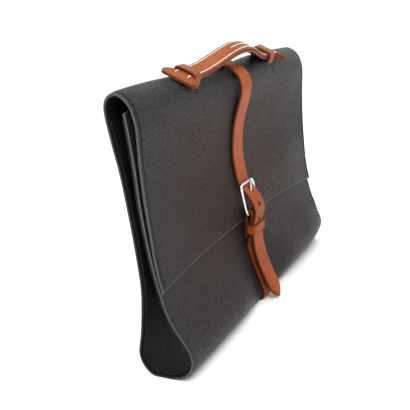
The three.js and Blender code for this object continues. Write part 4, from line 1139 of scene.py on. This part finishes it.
def slitBoxes(values):
    # What is cut from the roll for the loops' legs: one box a leg, all in one body
    sign = np.array([[a, b, c] for a in (-1, 1) for b in (-1, 1) for c in (-1, 1)])
    quads = np.array([[0, 1, 3, 2], [4, 6, 7, 5], [0, 4, 5, 1], [2, 3, 7, 6], [0, 2, 6, 4], [1, 5, 7, 3]])
    points, faces = [], []
    for centreX in (-loopPlace, loopPlace):
        high = halfDepth * values["above"] + 1
        low = -(rollReach(centreX) - halfDepth * values["depth"] - values["wall"] / 2)
        for legSide in (-1, 1):
            x = centreX + sign[:, 0] * (values["width"] / 2 + clearance)
            across = legSide * loopHalf + sign[:, 1] * (values["wall"] / 2 + clearance)
            up = rollReach(centreX) + (high + low) / 2 + sign[:, 2] * (high - low) / 2
            faces.append(quads + 8 * len(points))
            points.append(handlePlace(x, across, up))
    points = np.concatenate(points)
    return points, outwards(points, [np.concatenate(faces)])


cutAway(wrapPiece, [slitBoxes(loops)])
makeHandleLayer(0, "handleUnder", "handle_under_layer", handle)
makeHandleLayer(1, "handleTop", "handle_top_layer", handle)
makeLoop(-loopPlace, "loopLeft", "handle_loop_left", loops)
makeLoop(loopPlace, "loopRight", "handle_loop_right", loops)
print("handle made")


# Stitches: short thread arches, laid at even steps along a line

stitch = {
    "length": 2.7, "radius": 0.5, "arch": 0.3, "sunk": 0.12, "rings": 7, "sides": 6, "linePoints": 80,
    "loopGap": 1.0, "nearEnd": 5.0, "farEnd": 14.0, "middleFrom": -8.0, "middleTo": 34.0,
}


def stitchRun(points, normals, pitch):
    # Along a line of points with its normals: the centres, directions and normals of the stitches
    length = lengthAlong(points)
    places = np.arange(pitch / 2, length[-1], pitch)
    layers = (points, np.gradient(points, axis=0), normals)
    at, direction, normal = (sample(places, length, layer) for layer in layers)
    return at, unit(direction), unit(normal)


def makeStitches(name, runs, values):
    # One short bar a stitch: its middle is lifted by a parabola, and its radius closes at both ends
    at, direction, normal = (np.concatenate([run[k] for run in runs]) for k in range(3))
    rings, sides = values["rings"], values["sides"]
    u = np.linspace(-1, 1, rings)
    ring = np.arange(sides) / sides * 2 * math.pi
    thick = (values["radius"] * np.sqrt(np.clip(1 - u ** 6, 0.05, 1)))[:, None]
    a = u[:, None] * values["length"] / 2 * np.ones(sides)
    b = thick * np.cos(ring)
    c = thick * np.sin(ring) + (values["arch"] * (1 - u ** 2) - values["sunk"])[:, None]
    points = np.zeros((len(at), rings, sides, 3)) + at[:, None, None]
    for part, axis in ((a, direction), (b, np.cross(direction, normal)), (c, normal)):
        points = points + part[None, ..., None] * axis[:, None, None]
    points = points.reshape(-1, 3)
    first = np.arange(len(at))[:, None] * rings * sides
    quads = (first[:, None] + tubeFaces(rings, sides, False)).reshape(-1, 4)
    k = np.arange(sides)
    faces = outwards(points, [quads, first + k[::-1], first + (rings - 1) * sides + k])
    makePiece(name, (points, faces), threadMaterial)


def handleTopLine(x0, x1, across):  # a line along the handle's top, across from its middle
    x = np.linspace(x0, x1, stitch["linePoints"])
    share = across / (handle["width"] / 2 - handle["rim"])
    crown = handle["crown"] * (1 - share ** 2) * (handleBow(x) / handle["rise"])
    layers = 2 * (handle["layer"] - tabThin(x)) + clearance + handle["swell"] / 2
    up = rollReach(x) + clearance + handleBow(x) + layers + crown
    points = handlePlace(x, np.full(len(x), across), up)
    normals = unit(np.cross(directions(points), np.array([0.0, *handleAcross])))
    return points, turnedTo(normals, upwards)


def stitchRuns(values):  # two rows beside the edges, broken at the loops, and one down the middle
    row, reach = handle["stitchRow"], loops["width"] / 2 + values["loopGap"]
    stretches = [(-loopPlace - reach - values["nearEnd"], -loopPlace - reach),
                 (-loopPlace + reach, loopPlace - reach),
                 (loopPlace + reach, loopPlace + reach + values["farEnd"])]
    lines = [(a, b, side * row) for a, b in stretches for side in (-1, 1)]
    lines.append((values["middleFrom"], values["middleTo"], 0.0))
    return [stitchRun(*handleTopLine(*line), handle["stitchPitch"]) for line in lines]


makeStitches("handleStitches", stitchRuns(stitch), stitch)
print("stitches made")


# The stage: a plain pale floor, an even sky and soft light, in metres

stage = {"floor": "fbfbfa", "floorPale": "fdfdfc", "size": 12.0, "worldStrength": 1.05}
lights = {  # place, target, size and power
    "keyLight": ((-0.75, -0.75, 1.35), (0, 0, 0.2), 0.8, 17.0),
    "topLight": ((0.0, 0.1, 1.5), (0, 0, 0.2), 0.9, 6.0),
    "backLight": ((-0.3, 1.0, 1.2), (0, 0, 0.25), 0.9, 5.0),
}


def makeStage(values):  # the floor, the even sky and the plain view of colours
    finish = Finish("paleFloor", Roughness=0.9)
    tone = finish.colour(finish.noise(300.0, 2.0), values["floor"], values["floorPale"])
    half = values["size"]
    mesh = bpy.data.meshes.new("floor")
    corners = [(-half, -half, 0), (half, -half, 0), (half, half, 0), (-half, half, 0)]
    mesh.from_pydata(corners, [], [(0, 1, 2, 3)])
    mesh.materials.append(finish.set(Base_Color=tone))
    floor = inScene("floor", mesh)
    world = bpy.data.worlds.new("studio")
    world.use_nodes = True
    background = world.node_tree.nodes["Background"]
    background.inputs["Color"].default_value = (1.0, 1.0, 1.0, 1.0)
    background.inputs["Strength"].default_value = values["worldStrength"]
    bpy.context.scene.world = world
    bpy.context.scene.view_settings.view_transform = "Standard"


def softLight(name, place, target, size, power):  # a square of light, turned to its target
    data = bpy.data.lights.new(name, "AREA")
    data.shape = "SQUARE"
    data.size = size
    data.energy = power
    light = inScene(name, data)
    light.location = place
    light.rotation_euler = (Vector(target) - Vector(place)).to_track_quat("-Z", "Y").to_euler()


makeStage(stage)
for lightName, values in lights.items():
    softLight(lightName, *values)
print("stage made")

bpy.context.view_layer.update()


def plain(box):  # a box as plain numbers
    return [[float(v) for v in corner] for corner in box]
